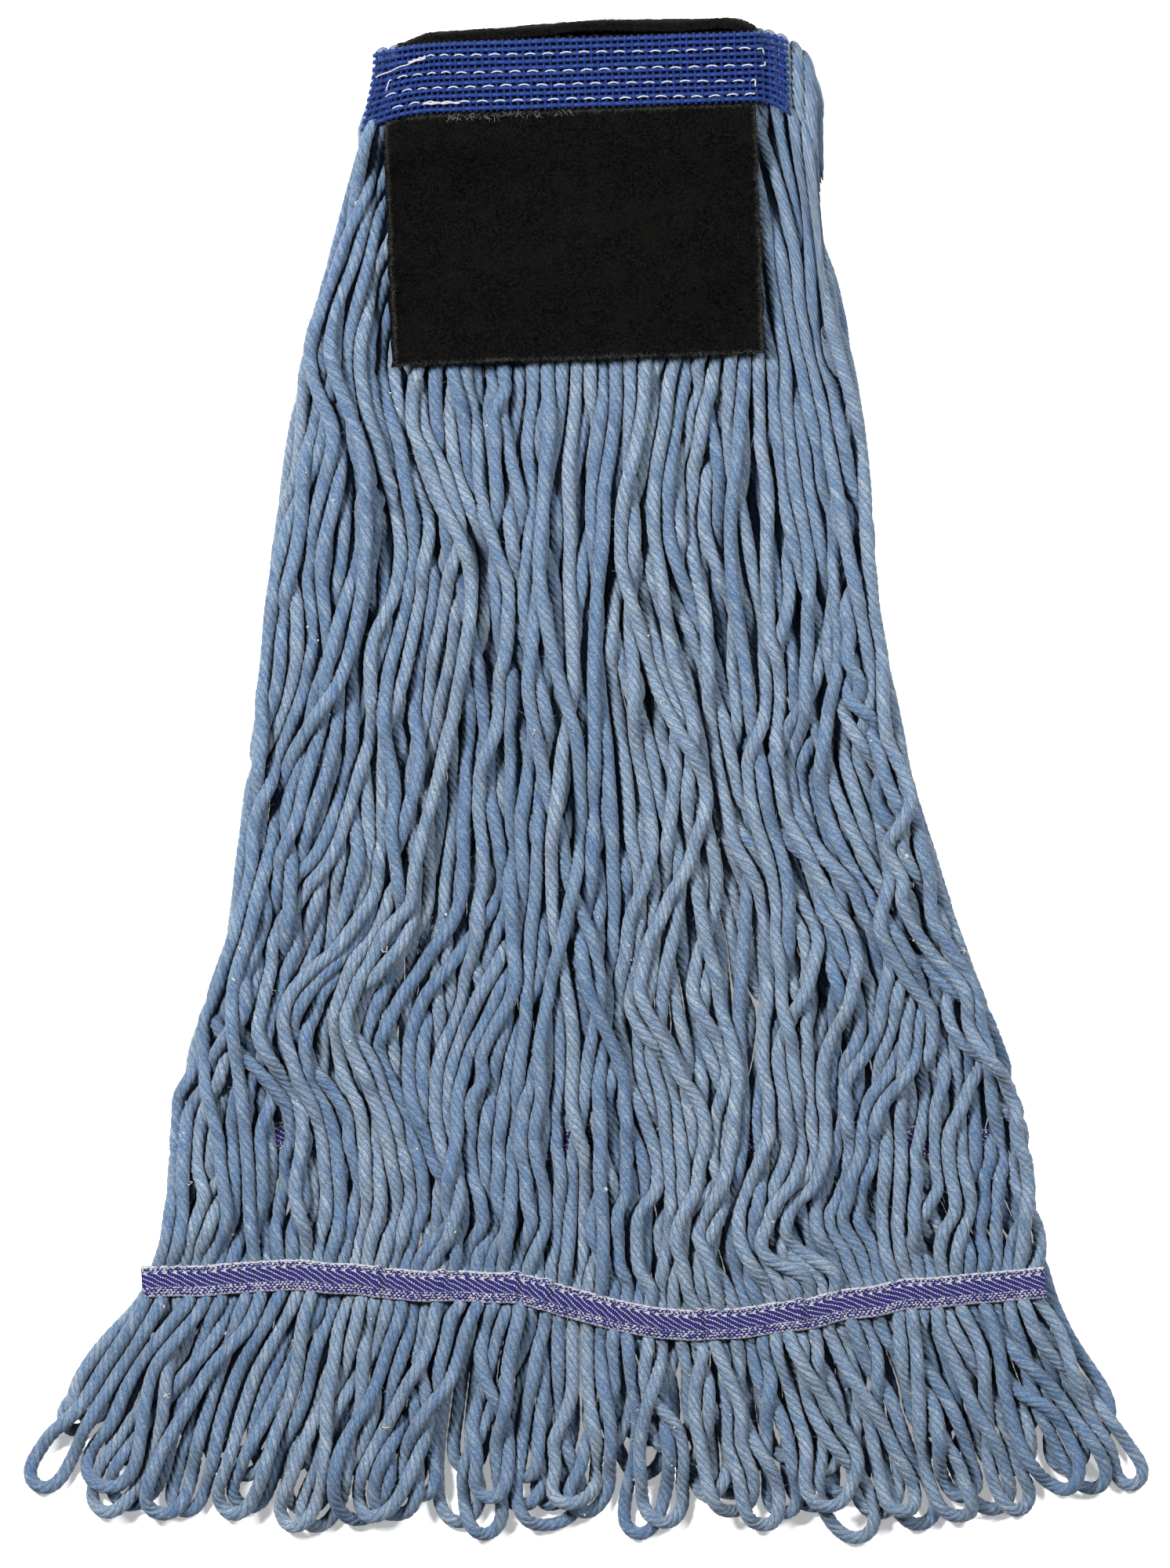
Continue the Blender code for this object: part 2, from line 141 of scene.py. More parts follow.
def tail_ends(half):
    """x of the first and last strand in a tail band."""
    return TAIL[half][0, 0] + TAIL_INSET, TAIL[half][-1, 0] - TAIL_INSET


def smoothstep(t):
    t = np.clip(t, 0, 1)
    return t * t * (3 - 2 * t)


def droop(points):
    """The head sags round its two top corners: the whole stack curves down and in towards its ends."""
    x, y = points[:, 0], points[:, 1]
    right = np.clip((x - RIGHT_CURVE[0]) / RIGHT_CURVE[1], 0, CURVE_LIMIT)
    left = np.clip((LEFT_CURVE[0] - x) / LEFT_CURVE[1], 0, CURVE_LIMIT)
    lower = np.clip((250 - y) / 20, 0, 1)
    fall = CORNER_FALL * (1 - np.sqrt(1 - right**2)) * (1 + 0.7 * lower)
    fall += CORNER_FALL * (1 - np.sqrt(1 - left**2)) * (0.32 + 0.45 * lower)
    lean = 6 * smoothstep((y - 222) / 30) * smoothstep((-40 - x) / 32)
    moved = points.copy()
    moved[:, 0] += lean
    moved[:, 1] -= (fall + BAND_SETTLED) * smoothstep((y - 110) / 115)
    moved[:, 2] = np.maximum(moved[:, 2], 0)
    return moved


def between_cells(grid, x, y, ease):
    """A grid's value between its cells; past its edges the grid repeats."""
    rows, columns = grid.shape
    xi, yi = np.floor(x).astype(int), np.floor(y).astype(int)
    fx, fy = ease(x - xi), ease(y - yi)

    def corner(i, j):
        return grid[(xi + i) % rows, (yi + j) % columns]

    near = corner(0, 0) * (1 - fx) + corner(1, 0) * fx
    far = corner(0, 1) * (1 - fx) + corner(1, 1) * fx
    return near * (1 - fy) + far * fy


def lattice_noise(x, y, seed):
    """Smooth value noise from -1 to 1 with features about 1 across."""
    table = np.random.default_rng(seed).uniform(-1, 1, (128, 128))
    return between_cells(table, x, y, smoothstep)


def layered_noise(x, y, layers, seed):
    """Layers of noise, each given as its height and the size of its features in x and y."""
    noises = (h * lattice_noise(x / a, y / b, seed + n) for n, (h, a, b) in enumerate(layers))
    return sum(noises)


# ---- meshes from arrays


def build_mesh(name, points, face_sets, corner_uvs, look, tone=None):
    """One object from points in millimetres and arrays of faces, each with its own corner count."""
    mesh = bpy.data.meshes.new(name)
    mesh.vertices.add(len(points))
    mesh.vertices.foreach_set("co", (droop(points) * MM).astype(np.float32).ravel())
    corners = np.concatenate([f.ravel() for f in face_sets])
    counts = np.concatenate([np.full(len(f), f.shape[1]) for f in face_sets])
    mesh.loops.add(len(corners))
    mesh.loops.foreach_set("vertex_index", corners.astype(np.int32))
    mesh.polygons.add(len(counts))
    mesh.polygons.foreach_set("loop_start", (np.cumsum(counts) - counts).astype(np.int32))
    layer = mesh.uv_layers.new(name="cloth")
    layer.data.foreach_set("uv", np.concatenate(corner_uvs).astype(np.float32).ravel())
    if tone is not None:
        attribute = mesh.attributes.new("tone", "FLOAT", "POINT")
        attribute.data.foreach_set("value", tone.astype(np.float32))
    mesh.update(calc_edges=True)
    mesh.shade_smooth()
    mesh.materials.append(look)
    obj = bpy.data.objects.new(name, mesh)
    bpy.context.scene.collection.objects.link(obj)
    return obj


def stand_for(obj, slot, *nodes, body=None):
    """Hides the CAD nodes that a piece replaces, and attaches it to the body it rides on; its slot is not
    used.
    """
    if body:
        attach(obj, body)
    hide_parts(*nodes)


def unit(vectors):
    return vectors / np.maximum(np.linalg.norm(vectors, axis=-1, keepdims=True), 1e-9)


def tube_arrays(paths, radii, sides, up, turn=0.0, shape=None):
    """Closed tubes along paths (tubes, rings, 3), with u round the tube and v along it in mm."""
    tubes, rings = paths.shape[:2]
    radii = np.broadcast_to(radii, paths.shape[:2])
    along = unit(np.gradient(paths, axis=1))
    side = unit(np.cross(np.broadcast_to(up, along.shape), along))
    above = np.cross(along, side)
    steps = np.linalg.norm(np.diff(paths, axis=1), axis=-1)
    distance = np.concatenate([np.zeros((tubes, 1)), np.cumsum(steps, axis=1)], axis=1)
    base = np.arange(sides) / sides * 2 * math.pi
    angle = base[None, None] + (distance * turn)[..., None]
    reach = radii[..., None] * (shape(base) if shape else 1.0)
    offset = side[:, :, None] * np.sin(angle)[..., None] + above[:, :, None] * np.cos(angle)[..., None]
    points = (paths[:, :, None] + offset * reach[..., None]).reshape(-1, 3)
    t, r, s = np.meshgrid(np.arange(tubes), np.arange(rings - 1), np.arange(sides), indexing="ij")
    nxt = (s + 1) % sides
    low, high = (t * rings + r) * sides, (t * rings + r + 1) * sides
    quads = np.stack([low + s, high + s, high + nxt, low + nxt], axis=-1).reshape(-1, 4)
    around = np.stack([s, s, s + 1, s + 1], axis=-1) / sides
    length = np.stack([distance[t, r], distance[t, r + 1], distance[t, r + 1], distance[t, r]], axis=-1)
    quad_uv = np.stack([around, length], axis=-1).reshape(-1, 2)
    ring = np.arange(sides)
    first = np.arange(tubes)[:, None] * rings * sides
    caps = np.concatenate([first + ring, (first + (rings - 1) * sides + ring)[:, ::-1]])
    return points, [quads, caps], [quad_uv, np.zeros((caps.size, 2))]


def merge_tubes(parts):
    """Sets of tubes as one: their points, their side and end faces, and their corners' uvs."""
    points = np.concatenate([p for p, _, _ in parts])
    first = np.cumsum([0] + [len(p) for p, _, _ in parts[:-1]])
    faces = [np.concatenate([f[kind] + n for (_, f, _), n in zip(parts, first)]) for kind in (0, 1)]
    return points, faces, [uvs[kind] for kind in (0, 1) for _, _, uvs in parts]


def tubes(name, paths, radii, sides, up, look, turn=0.0, shape=None, tone=None):
    points, faces, uvs = tube_arrays(paths, radii, sides, up, turn, shape)
    if tone is not None:
        tone = np.repeat(tone, paths.shape[1] * sides)
    return build_mesh(name, points, faces, uvs, look, tone)


def distance_along(line):
    """How far each point of a line is from its start."""
    return np.concatenate([[0], np.cumsum(np.linalg.norm(np.diff(line, axis=0), axis=1))])


def points_at(line, wanted):
    """The points of a line at wanted distances from its start."""
    distance = distance_along(line)
    return np.stack([np.interp(wanted, distance, line[:, i]) for i in range(line.shape[1])], axis=1)


def resample(path, count):
    """A smooth line through the middle of a polyline's bends, at count equal steps."""
    path = np.concatenate([path[:1] * 2 - path[1:2], path, path[-1:] * 2 - path[-2:-1]])
    t = np.linspace(0, 1, 5)[:-1, None, None]
    a, b, c, d = path[:-3], path[1:-2], path[2:-1], path[3:]
    fine = (1 - t) ** 3 * a + (3 * t**3 - 6 * t**2 + 4) * b
    fine = fine + (-3 * t**3 + 3 * t**2 + 3 * t + 1) * c + t**3 * d
    fine = (fine / 6).transpose(1, 0, 2).reshape(-1, path.shape[1])
    fine = np.concatenate([fine, path[-2:-1]])
    return points_at(fine, np.linspace(0, distance_along(fine)[-1], count))


# ---- materials


class Signal:
    """A number that varies over a surface, whose arithmetic adds Math nodes to its look."""

    def __init__(self, look, socket):
        self.look, self.socket = look, socket

    def __add__(self, other):
        return self.look.math("ADD", self, other)

    def __sub__(self, other):
        return self.look.math("SUBTRACT", self, other)

    def __mul__(self, other):
        return self.look.math("MULTIPLY", self, other)

    def __truediv__(self, other):
        return self.look.math("DIVIDE", self, other)

    def __abs__(self):
        return self.look.math("ABSOLUTE", self)


class Look:
    """A Principled material whose nodes are added by short calls."""

    def __init__(self, name, roughness, sheen=0.0, specular=0.3):
        self.material = bpy.data.materials.new(name)
        self.material.use_nodes = True
        self.tree = self.material.node_tree
        self.shader = self.tree.nodes["Principled BSDF"]
        self.shader.inputs["Roughness"].default_value = roughness
        self.shader.inputs["Sheen Weight"].default_value = sheen
        self.shader.inputs["Sheen Roughness"].default_value = 0.6
        self.shader.inputs["Specular IOR Level"].default_value = specular

    def add(self, kind, inputs, **settings):
        node = self.tree.nodes.new(kind)
        for key, value in settings.items():
            setattr(node, key, value)
        for key, value in inputs.items():
            self.set(node.inputs[key], value)
        return node

    def set(self, socket, value):
        if isinstance(value, Signal):
            self.tree.links.new(value.socket, socket)
        elif isinstance(value, tuple) and len(value) == 3:
            socket.default_value = (*value, 1)
        else:
            socket.default_value = value

    def signal(self, kind, inputs, output=0, **settings):
        return Signal(self, self.add(kind, inputs, **settings).outputs[output])

    def math(self, operation, a, b=0.0):
        return self.signal("ShaderNodeMath", {0: a, 1: b}, operation=operation)

    def sine(self, value):
        return self.math("SINE", value)

    def greater(self, a, b):
        return self.math("MAXIMUM", a, b)

    def range(self, value, low, high, to_low=0.0, to_high=1.0):
        inputs = {"Value": value, "From Min": low, "From Max": high, "To Min": to_low, "To Max": to_high}
        return self.signal("ShaderNodeMapRange", inputs, interpolation_type="SMOOTHSTEP")

    def mix(self, amount, a, b):
        return self.signal("ShaderNodeMix", {0: amount, 6: a, 7: b}, 2, data_type="RGBA")

    def noise(self, vector, scale, detail=2.0, roughness=0.5):
        inputs = {"Vector": vector, "Scale": scale, "Detail": detail, "Roughness": roughness}
        return self.signal("ShaderNodeTexNoise", inputs)

    def vector(self, x, y, z=0.0):
        return self.signal("ShaderNodeCombineXYZ", {0: x, 1: y, 2: z})

    def uv(self):
        layer = self.signal("ShaderNodeUVMap", {}, uv_map="cloth")
        parts = self.add("ShaderNodeSeparateXYZ", {0: layer})
        return Signal(self, parts.outputs[0]), Signal(self, parts.outputs[1])

    def tone(self):
        return self.signal("ShaderNodeAttribute", {}, "Fac", attribute_name="tone")

    def place(self):
        return self.signal("ShaderNodeTexCoord", {}, "Object")

    def finish(self, colour, height=None, distance=0.0002, strength=1.0):
        self.set(self.shader.inputs["Base Color"], colour)
        if height is not None:
            inputs = {"Height": height, "Distance": distance, "Strength": strength}
            self.set(self.shader.inputs["Normal"], self.signal("ShaderNodeBump", inputs))
        return self.material


def yarn_look():
    """Heathered blue and off-white fibres that run along each ply, with painted shade in the grooves
    between the plies.
    """
    look = Look("heathered_yarn", 0.95, sheen=0.10, specular=0.08)
    round_, along = look.uv()
    tone = look.tone()
    wide = round_ * (math.pi * YARN)
    fibre = look.noise(look.vector(wide, along * 0.38, tone * 61.0), 2.6, 5.0, 0.74)
    patch_at = look.vector(wide, along * 0.35, tone * 23.0)
    patch = look.noise(patch_at, 0.33, 2.0)
    ply_at = look.vector(look.math("FLOOR", round_ * PLIES), tone)
    ply = look.signal("ShaderNodeTexWhiteNoise", {"Vector": ply_at}, "Value")
    shade = fibre + (patch - 0.5) * 0.24 + look.range(tone, 0, 1, -0.035, 0.035) + (ply - 0.5) * 0.06
    colour = look.mix(look.range(shade, 0.31, 0.44), (0.017, 0.044, 0.120), (0.058, 0.103, 0.175))
    colour = look.mix(look.range(shade, 0.44, 0.55), colour, (0.128, 0.168, 0.214))
    colour = look.mix(look.range(shade, 0.55, 0.70), colour, (0.280, 0.310, 0.330))
    fleck = look.range(look.noise(patch_at, 2.6, 2.0), 0.73, 0.79)
    colour = look.mix(fleck, colour, (0.36, 0.37, 0.36))
    # Painted shade: the grooves between the plies are darkened towards deep navy, as shade in the cusps.
    groove_shade = abs(look.sine(round_ * (PLIES * math.pi)))
    colour = look.mix(look.range(groove_shade, 0.0, 0.5, 0.75, 0.0), colour, (0.026, 0.060, 0.135))
    return look.finish(colour, fibre, 0.0006, 0.7)


def fibre_look(name, colour):
    look = Look(name, 0.9, specular=0.08)
    shade = look.range(look.noise(look.place(), 900.0), 0.3, 0.7)
    return look.finish(look.mix(shade, tuple(c * 0.7 for c in colour), colour))


def band_look():
    """Glossy blue filament, streaked along each thread; the weft is the darker, as its tone says."""
    look = Look("headband_filament", 0.5, sheen=0.02, specular=0.14)
    round_, along = look.uv()
    streak = look.noise(look.vector(round_ * 9.0, along * 0.5, look.tone()), 1.6, 3.0)
    colour = look.mix(look.range(streak, 0.3, 0.7), (0.0010, 0.009, 0.064), (0.0030, 0.025, 0.130))
    colour = look.mix(look.range(look.tone(), 0.5, 1.0), colour, (0.0014, 0.009, 0.074))
    return look.finish(colour, streak, 0.0002, 0.4)


def pad_look():
    look = Look("scrub_pad_nonwoven", 0.95, specular=0.03)
    place = look.place()
    web = look.noise(place, 1100.0, 4.0, 0.75)
    patch = look.noise(place, 120.0, 2.0)
    colour = look.mix(look.range(web, 0.42, 0.62), (0.0002, 0.0003, 0.0003), (0.0033, 0.0036, 0.0034))
    colour = look.mix(look.range(patch, 0.45, 0.7, 0.0, 0.5), colour, (0.0036, 0.0032, 0.0027))
    return look.finish(colour, web, 0.0006, 0.9)


def thread_look():
    look = Look("white_sewing_thread", 0.6, sheen=0.3, specular=0.4)
    round_, along = look.uv()
    lay = look.sine((along + round_) * 9.0)
    colour = look.mix(look.range(lay, -1, 1), (0.19, 0.195, 0.23), (0.36, 0.37, 0.40))
    return look.finish(colour, lay, 0.0001, 0.6)


HERRINGBONE_PITCH = 3.4
HERRINGBONE_SPINE = 2.4  # the zigzag's turning line, from the tape's upper edge
PICK = 0.75  # mm along the tape to each weft thread
PALE_ROW = 0.8  # mm across the tape to each row of pale specks


def tail_look():
    """Violet and grey-white herringbone: u is mm along the tape and v is mm from its upper edge."""
    look = Look("herringbone_tape", 0.85, sheen=0.05, specular=0.1)
    along, across = look.uv()
    from_spine = abs(across - HERRINGBONE_SPINE)
    waver = look.noise(look.vector(along, across), 0.35, 1.0) * 1.6
    phase = (along - from_spine * 1.9 + waver) / HERRINGBONE_PITCH
    stripe = abs(look.math("FRACT", phase) - 0.5)
    dots = look.sine(along * (2 * math.pi / PICK))
    main = look.range(stripe + dots * 0.07, 0.060, 0.105, 1.0, 0.0)
    row = look.math("FLOOR", across / PALE_ROW)
    dashes = look.sine((along + (waver + row * PICK)) * (2 * math.pi / (2 * PICK)))
    lines = look.sine(across * (2 * math.pi / PALE_ROW))
    rough = look.noise(look.vector(along, across, 4.0), 1.1, 2.0)
    specks = dashes * 0.55 + lines * 0.4 + look.range(rough, 0.3, 0.7, -0.6, 0.6)
    fine = look.range(specks, 0.12, 0.42)
    lower = look.range(across, 6.6, 7.6)
    upper = look.range(across, HERRINGBONE_SPINE - 0.6, HERRINGBONE_SPINE - 0.2, 1.0, 0.0)
    pale_zone = look.greater(lower, upper)
    field = main * look.math("SUBTRACT", 1.0, pale_zone)
    pattern = look.greater(field, fine * pale_zone)
    pattern = look.greater(pattern, look.range(from_spine + stripe * 2.2, 0.55, 0.75, 1.0, 0.0))
    edge = TAIL_WIDTH / 2
    selvedge = look.range(abs(across - edge), edge - 0.55, edge - 0.35)
    pattern = look.greater(pattern, selvedge * 0.9)
    grain = look.range(look.noise(look.vector(along, across), 3.2, 2.0), 0.3, 0.7)
    violet = look.mix(grain, (0.005, 0.004, 0.045), (0.015, 0.012, 0.095))
    pale = look.mix(grain, (0.15, 0.155, 0.175), (0.37, 0.375, 0.395))
    return look.finish(look.mix(pattern, violet, pale), pattern * 0.7 + dots * 0.1, 0.0004, 0.8)


def floor_look():
    look = Look("white_floor", 0.9, specular=0.0)
    look.shader.inputs["Emission Color"].default_value = (1, 1, 1, 1)
    look.shader.inputs["Emission Strength"].default_value = 0.33
    return look.finish((0.93, 0.93, 0.93))


# ---- the yarn's lie


NODES_A_STRAND = 100
NODES_A_LOOP = 84
SETTLE_STEPS = 150
CALM_STEPS = 25  # the last steps, with less gravity
TOUCH = 1.03 * YARN  # stray fibres keep the strands a little apart
SIDE_GIVE = 0.22  # share of a push that friction lets act sideways
MOST_PUSH = 0.8
GRAVITY = 0.045  # mm a step
DRAG = 0.80
BEND_ARC = 95.0
BACK_BAND = (-101.0, -121.5)  # the one place where the front yarn parts over the back tail band
PARTING = (8.5, 7.0)  # how far the yarn moves aside there, and over what width
PARTING_HEIGHT = 26.0
SWAP_SHARE = 0.4
FAR_SHARE = 0.18
NEAR_SWAP = 3
FAR_SWAP = 9
COMPANY_WAVES = ((11.5, 32, 40), (2.4, 14, 30))  # height, then length across and down the head
BACK_CALM = 0.5
BACK_NARROW = 0.965
BACK_REACH = 0.95
TIP_MIDDLE_Y = -257.0
TIP_SIDE_RISE = 13.0
TIP_SCATTER = (11.0, 7.0)
BACK_TIP_RISE = (3, 22)
LOOP_ROUND = (5.0, 12.5)  # half the width of a loop's round end
LOOP_NECK = (0.5, 5.5)
LOOP_OPENS = (0.05, 0.5)  # share of its length at which a loop starts to open
LOOP_SMOOTHING = 7


def tail_slots(rng):
    """Each strand's place in the tail band: near its place in the headband, with a few far swaps."""
    slots = np.arange(STRANDS)
    for k in range(STRANDS):
        if rng.random() < SWAP_SHARE:
            reach = FAR_SWAP if rng.random() < FAR_SHARE else NEAR_SWAP
            other = int(np.clip(k + rng.integers(-reach, reach + 1), 0, STRANDS - 1))
            slots[k], slots[other] = slots[other], slots[k]
    return slots


def tail_height(half):
    low, high = node_box(f"{half}_tail_tape_lower")[1][2], node_box(f"{half}_tail_tape_upper")[0][2]
    return (low + high) / 2


def band_places(half):
    """Where each strand of a half lies at the fold's edge: u, and its height in one of two layers."""
    low, high = SEWN if half == "front" else BACK_STACK
    k = np.arange(STRANDS)
    left, right = FAN[0, 1:] - BAND_CENTRE[0]
    squeeze = YARN * 0.5
    heights = np.where(k % 2 == 0, high - squeeze, low + squeeze)
    return left + (right - left) * (k + 0.5) / STRANDS, heights


def sideways_waves(x, y, t, half):
    """Strands wave in company and each on its own, most where the tail band gathers them."""
    seed = 301 if half == "front" else 401
    k = np.arange(STRANDS)[:, None]
    company = layered_noise(x, y, COMPANY_WAVES, seed)
    own = 7.5 * lattice_noise(k * 7.31, y / 54, seed + 2) + 2.4 * lattice_noise(k * 5.17, y / 26, seed + 3)
    sweep = 10.0 * lattice_noise(x / 58, y / 75, seed + 4) * smoothstep((t - 0.06) / 0.20)
    grow = 1.0 + 1.15 * smoothstep((t - 0.3) / 0.45)
    window = smoothstep((t - 0.01) / 0.10) * smoothstep((0.99 - t) / 0.055)
    waves = ((company + own) * grow + sweep) * window
    if half == "back":
        return waves * BACK_CALM
    near_band = np.exp(-(((y - BACK_BAND[1]) / PARTING_HEIGHT) ** 2))
    beside = x - BACK_BAND[0]
    parting = PARTING[0] * np.sign(beside) * np.exp(-((beside / PARTING[1]) ** 2)) * near_band
    return waves * (1 - 0.95 * near_band) + parting


def strand_paths(half, rng):
    """Starting lines of a half's strands, from the fold's edge to the middle of the tail band."""
    us, heights = band_places(half)
    slots = tail_slots(rng)
    t = np.linspace(0, 1, NODES_A_STRAND)[None]
    start = on_band(us, FOLD_END_V, heights)
    f_band = (np.arange(STRANDS) + 0.5) / STRANDS
    f_tail = (slots + 0.5) / STRANDS
    first, last = tail_ends(half)
    tail_x = first + (last - first) * f_tail
    y = start[:, 1:2] + (tail_y_at(half, tail_x)[:, None] - start[:, 1:2]) * t
    left, right = fan_edges(y)
    narrow = 1.0 if half == "front" else BACK_NARROW
    drift = smoothstep((t - 0.12) / 0.8)
    share = f_band[:, None] * (1 - drift) + f_tail[:, None] * drift
    x = (left + right) / 2 + narrow * (right - left) * (share - 0.5)
    x = x + sideways_waves(x, y, t, half)
    arrive = smoothstep((t - 0.93) / 0.07)
    x = x * (1 - arrive) + tail_x[:, None] * arrive
    x = np.where(t < 0.03, start[:, :1], x)
    over = heights[:, None] + (tail_height(half) - heights[:, None]) * smoothstep(t * 1.15)
    window = smoothstep((t - 0.05) / 0.10) * smoothstep((1 - t) / 0.10)
    strays = np.abs(slots - np.arange(STRANDS))[:, None] > NEAR_SWAP
    lift = window * (2.0 + 7.0 * rng.random((STRANDS, 1)) + 7.0 * strays)
    return np.stack([x, y, over + lift], axis=-1), slots


def loop_tip(rng, half, place):
    """Where a loop ends: lowest in the middle of the head, and in one of its half's two layers."""
    side = abs(2 * place - 1) ** 3.2
    y = TIP_MIDDLE_Y + TIP_SIDE_RISE * side + rng.uniform(-TIP_SCATTER[1], TIP_SCATTER[1])
    if half == "back":
        y += rng.uniform(*BACK_TIP_RISE)
    left, right = fan_edges(FAN[-1, 0])
    reach = 1.0 if half == "front" else BACK_REACH
    x = (left + right) / 2 + reach * (right - left) * (place - 0.5)
    x += rng.uniform(-TIP_SCATTER[0], TIP_SCATTER[0])
    level = rng.integers(0, 2) + (2 if half == "front" else 0)
    return np.array([np.clip(x, left + 4, right - 4), y, YARN / 2 + level * TOUCH])


def loop_width(rng, down, half_gap, length):
    """Half of a loop's width down its length: closing below the seam, then open to its round end."""
    round_ = rng.uniform(*LOOP_ROUND)
    neck = rng.uniform(*LOOP_NECK)
    open_from = rng.uniform(*LOOP_OPENS)
    belly = 1 - 1.35 * round_ / length
    closed = smoothstep(down / 0.3)
    opening = smoothstep((down - open_from) / (belly - open_from))
    cap = np.sqrt(np.clip(1 - ((down - belly) / (1 - belly)) ** 2, 0, 1))
    width = half_gap * (1 - closed) + neck * closed * (1 - opening) + round_ * opening
    return width * np.where(down > belly, cap, 1.0)


def loop_path(start, end, rng, half, place):
    """A teardrop from one strand's end to the next one's, turned about its own length."""
    tip = loop_tip(rng, half, place)
    top = (start + end) / 2
    axis = tip - top
    across = unit(np.array([-axis[1], axis[0], 0.0]))
    if np.dot(across, end - start) < 0:
        across = -across
    down = 1 - (1 - np.linspace(0, 1, 160)) ** 1.8
    half_gap = np.linalg.norm(end - start) / 2
    width = loop_width(rng, down, half_gap, math.hypot(axis[0], axis[1]))
    turn = (rng.integers(-1, 2) * math.pi + rng.uniform(-0.7, 0.7)) * smoothstep(down / 0.8)
    bow = rng.uniform(-8, 8) * np.sin(down * math.pi) + rng.uniform(-2, 2) * np.sin(2 * math.pi * down)
    spine = top + axis * down[:, None] + across * bow[:, None]
    spine[:, 2] = top[2] + (tip[2] - top[2]) * smoothstep(down / 0.7)
    flat, high = width * np.cos(turn), width * np.sin(turn)
    offset = across * flat[:, None] + np.array([0, 0, 1.0]) * (0.55 * high[:, None])
    path = np.concatenate([spine - offset, (spine + offset)[::-1]])
    path = resample(path[::2], NODES_A_LOOP + 2)[1:-1]
    path[:, 2] = np.maximum(path[:, 2], YARN / 2)
    return path


def start_chains(half, rng):
    """Two strands and their loop as one line of nodes, with the nodes that the seams hold."""
    strands, slots = strand_paths(half, rng)
    order = np.argsort(slots)
    sewn_below = BAND_EDGE if half == "front" else -4
    lines, held = [], []
    for j in range(CHAINS):
        a, b = strands[order[2 * j]], strands[order[2 * j + 1]]
        loop = loop_path(a[-1], b[-1], rng, half, (j + 0.5) / CHAINS)
        line = np.concatenate([a, loop, b[::-1]])
        band_middle = BAND_CENTRE[1] + (line[:, 0] - BAND_CENTRE[0]) * math.tan(TILT)
        under_band = line[:, 1] > band_middle + sewn_below
        in_tail = np.abs(line[:, 1] - tail_y_at(half, line[:, 0])) < TAIL_WIDTH / 2 + 0.4
        line[in_tail, 2] = tail_height(half)
        lines.append(line)
        held.append(under_band | in_tail)
    return np.array(lines), np.array(held)


def near_pairs(points, reach):
    """Pairs of points closer than reach, found in a grid of cells of that size."""
    cell = np.floor(points / reach).astype(np.int64)
    cell -= cell.min(axis=0) - 1
    span = cell.max(axis=0) + 2
    key = (cell[:, 0] * span[1] + cell[:, 1]) * span[2] + cell[:, 2]
    order = np.argsort(key, kind="stable")
    sorted_key = key[order]
    found = []
    steps = [(0, 0, 0), (0, 0, 1)] + [(0, 1, k) for k in (-1, 0, 1)]
    steps += [(1, i, k) for i in (-1, 0, 1) for k in (-1, 0, 1)]
    for i, j, k in steps:
        wanted = sorted_key + (i * span[1] + j) * span[2] + k
        low = np.searchsorted(sorted_key, wanted, "left")
        high = np.searchsorted(sorted_key, wanted, "right")
        if (i, j, k) == (0, 0, 0):
            low = np.arange(len(key)) + 1
        count = np.maximum(high - low, 0)
        first = np.repeat(np.arange(len(key)), count)
        shift = np.arange(count.sum()) - np.repeat(np.cumsum(count) - count, count)
        second = np.repeat(low, count) + shift
        found.append(np.stack([order[first], order[second]]))
    a, b = np.concatenate(found, axis=1)
    close = ((points[a] - points[b]) ** 2).sum(axis=1) < reach**2
    return a[close], b[close]


def hold_lengths(line, free, rest):
    """Pulls neighbouring nodes back to the distance at which they started."""
    for start in (0, 1):
        a, b = line[:, start:-1:2], line[:, start + 1 :: 2]
        weight_a, weight_b = free[:, start:-1:2], free[:, start + 1 :: 2]
        gap = b - a
        length = np.maximum(np.linalg.norm(gap, axis=-1), 1e-6)
        share = (length - rest[:, start::2]) / length / np.maximum(weight_a + weight_b, 1)
        a += gap * (share * weight_a)[..., None]
        b -= gap * (share * weight_b)[..., None]


def limit_bends(line, free, rest, span):
    """Keeps the yarn from folding tighter than its own thickness lets it."""
    gap = line[:, span:] - line[:, :-span]
    length = np.maximum(np.linalg.norm(gap, axis=-1), 1e-6)
    run = np.cumsum(np.pad(rest, ((0, 0), (1, 0))), axis=1)
    arc = run[:, span:] - run[:, :-span]
    least = arc * np.clip(1.02 - arc / BEND_ARC, 0.6, 1)
    push = gap * (np.minimum(length - least, 0) / length * 0.25)[..., None]
    line[:, :-span] += push * free[:, :-span, None]
    line[:, span:] -= push * free[:, span:, None]


def smooth_lines(line, free, amount):
    middle = (line[:, 2:] + line[:, :-2]) / 2
    line[:, 1:-1] += (middle - line[:, 1:-1]) * amount * free[:, 1:-1, None]


def part_strands(points, free, pairs, rank):
    """Moves strands that press into each other apart, the later laid one upwards."""
    a, b = pairs
    size = len(points)
    gap = points[a] - points[b]
    deep = np.maximum(TOUCH - np.linalg.norm(gap, axis=1), 0)
    gap[:, 2] += 1.6 * deep * np.sign(rank[a] - rank[b])
    move = unit(gap) * (deep / np.maximum(free[a] + free[b], 1))[:, None]
    pressed = deep > 0
    count = np.bincount(a[pressed], minlength=size) + np.bincount(b[pressed], minlength=size)
    total = [np.bincount(a, part, size) - np.bincount(b, part, size) for part in move.T]
    total = np.stack(total, axis=1) / np.maximum(count, 1)[:, None] ** 0.75
    total[:, :2] *= SIDE_GIVE
    points += np.clip(total, -MOST_PUSH, MOST_PUSH) * free[:, None]


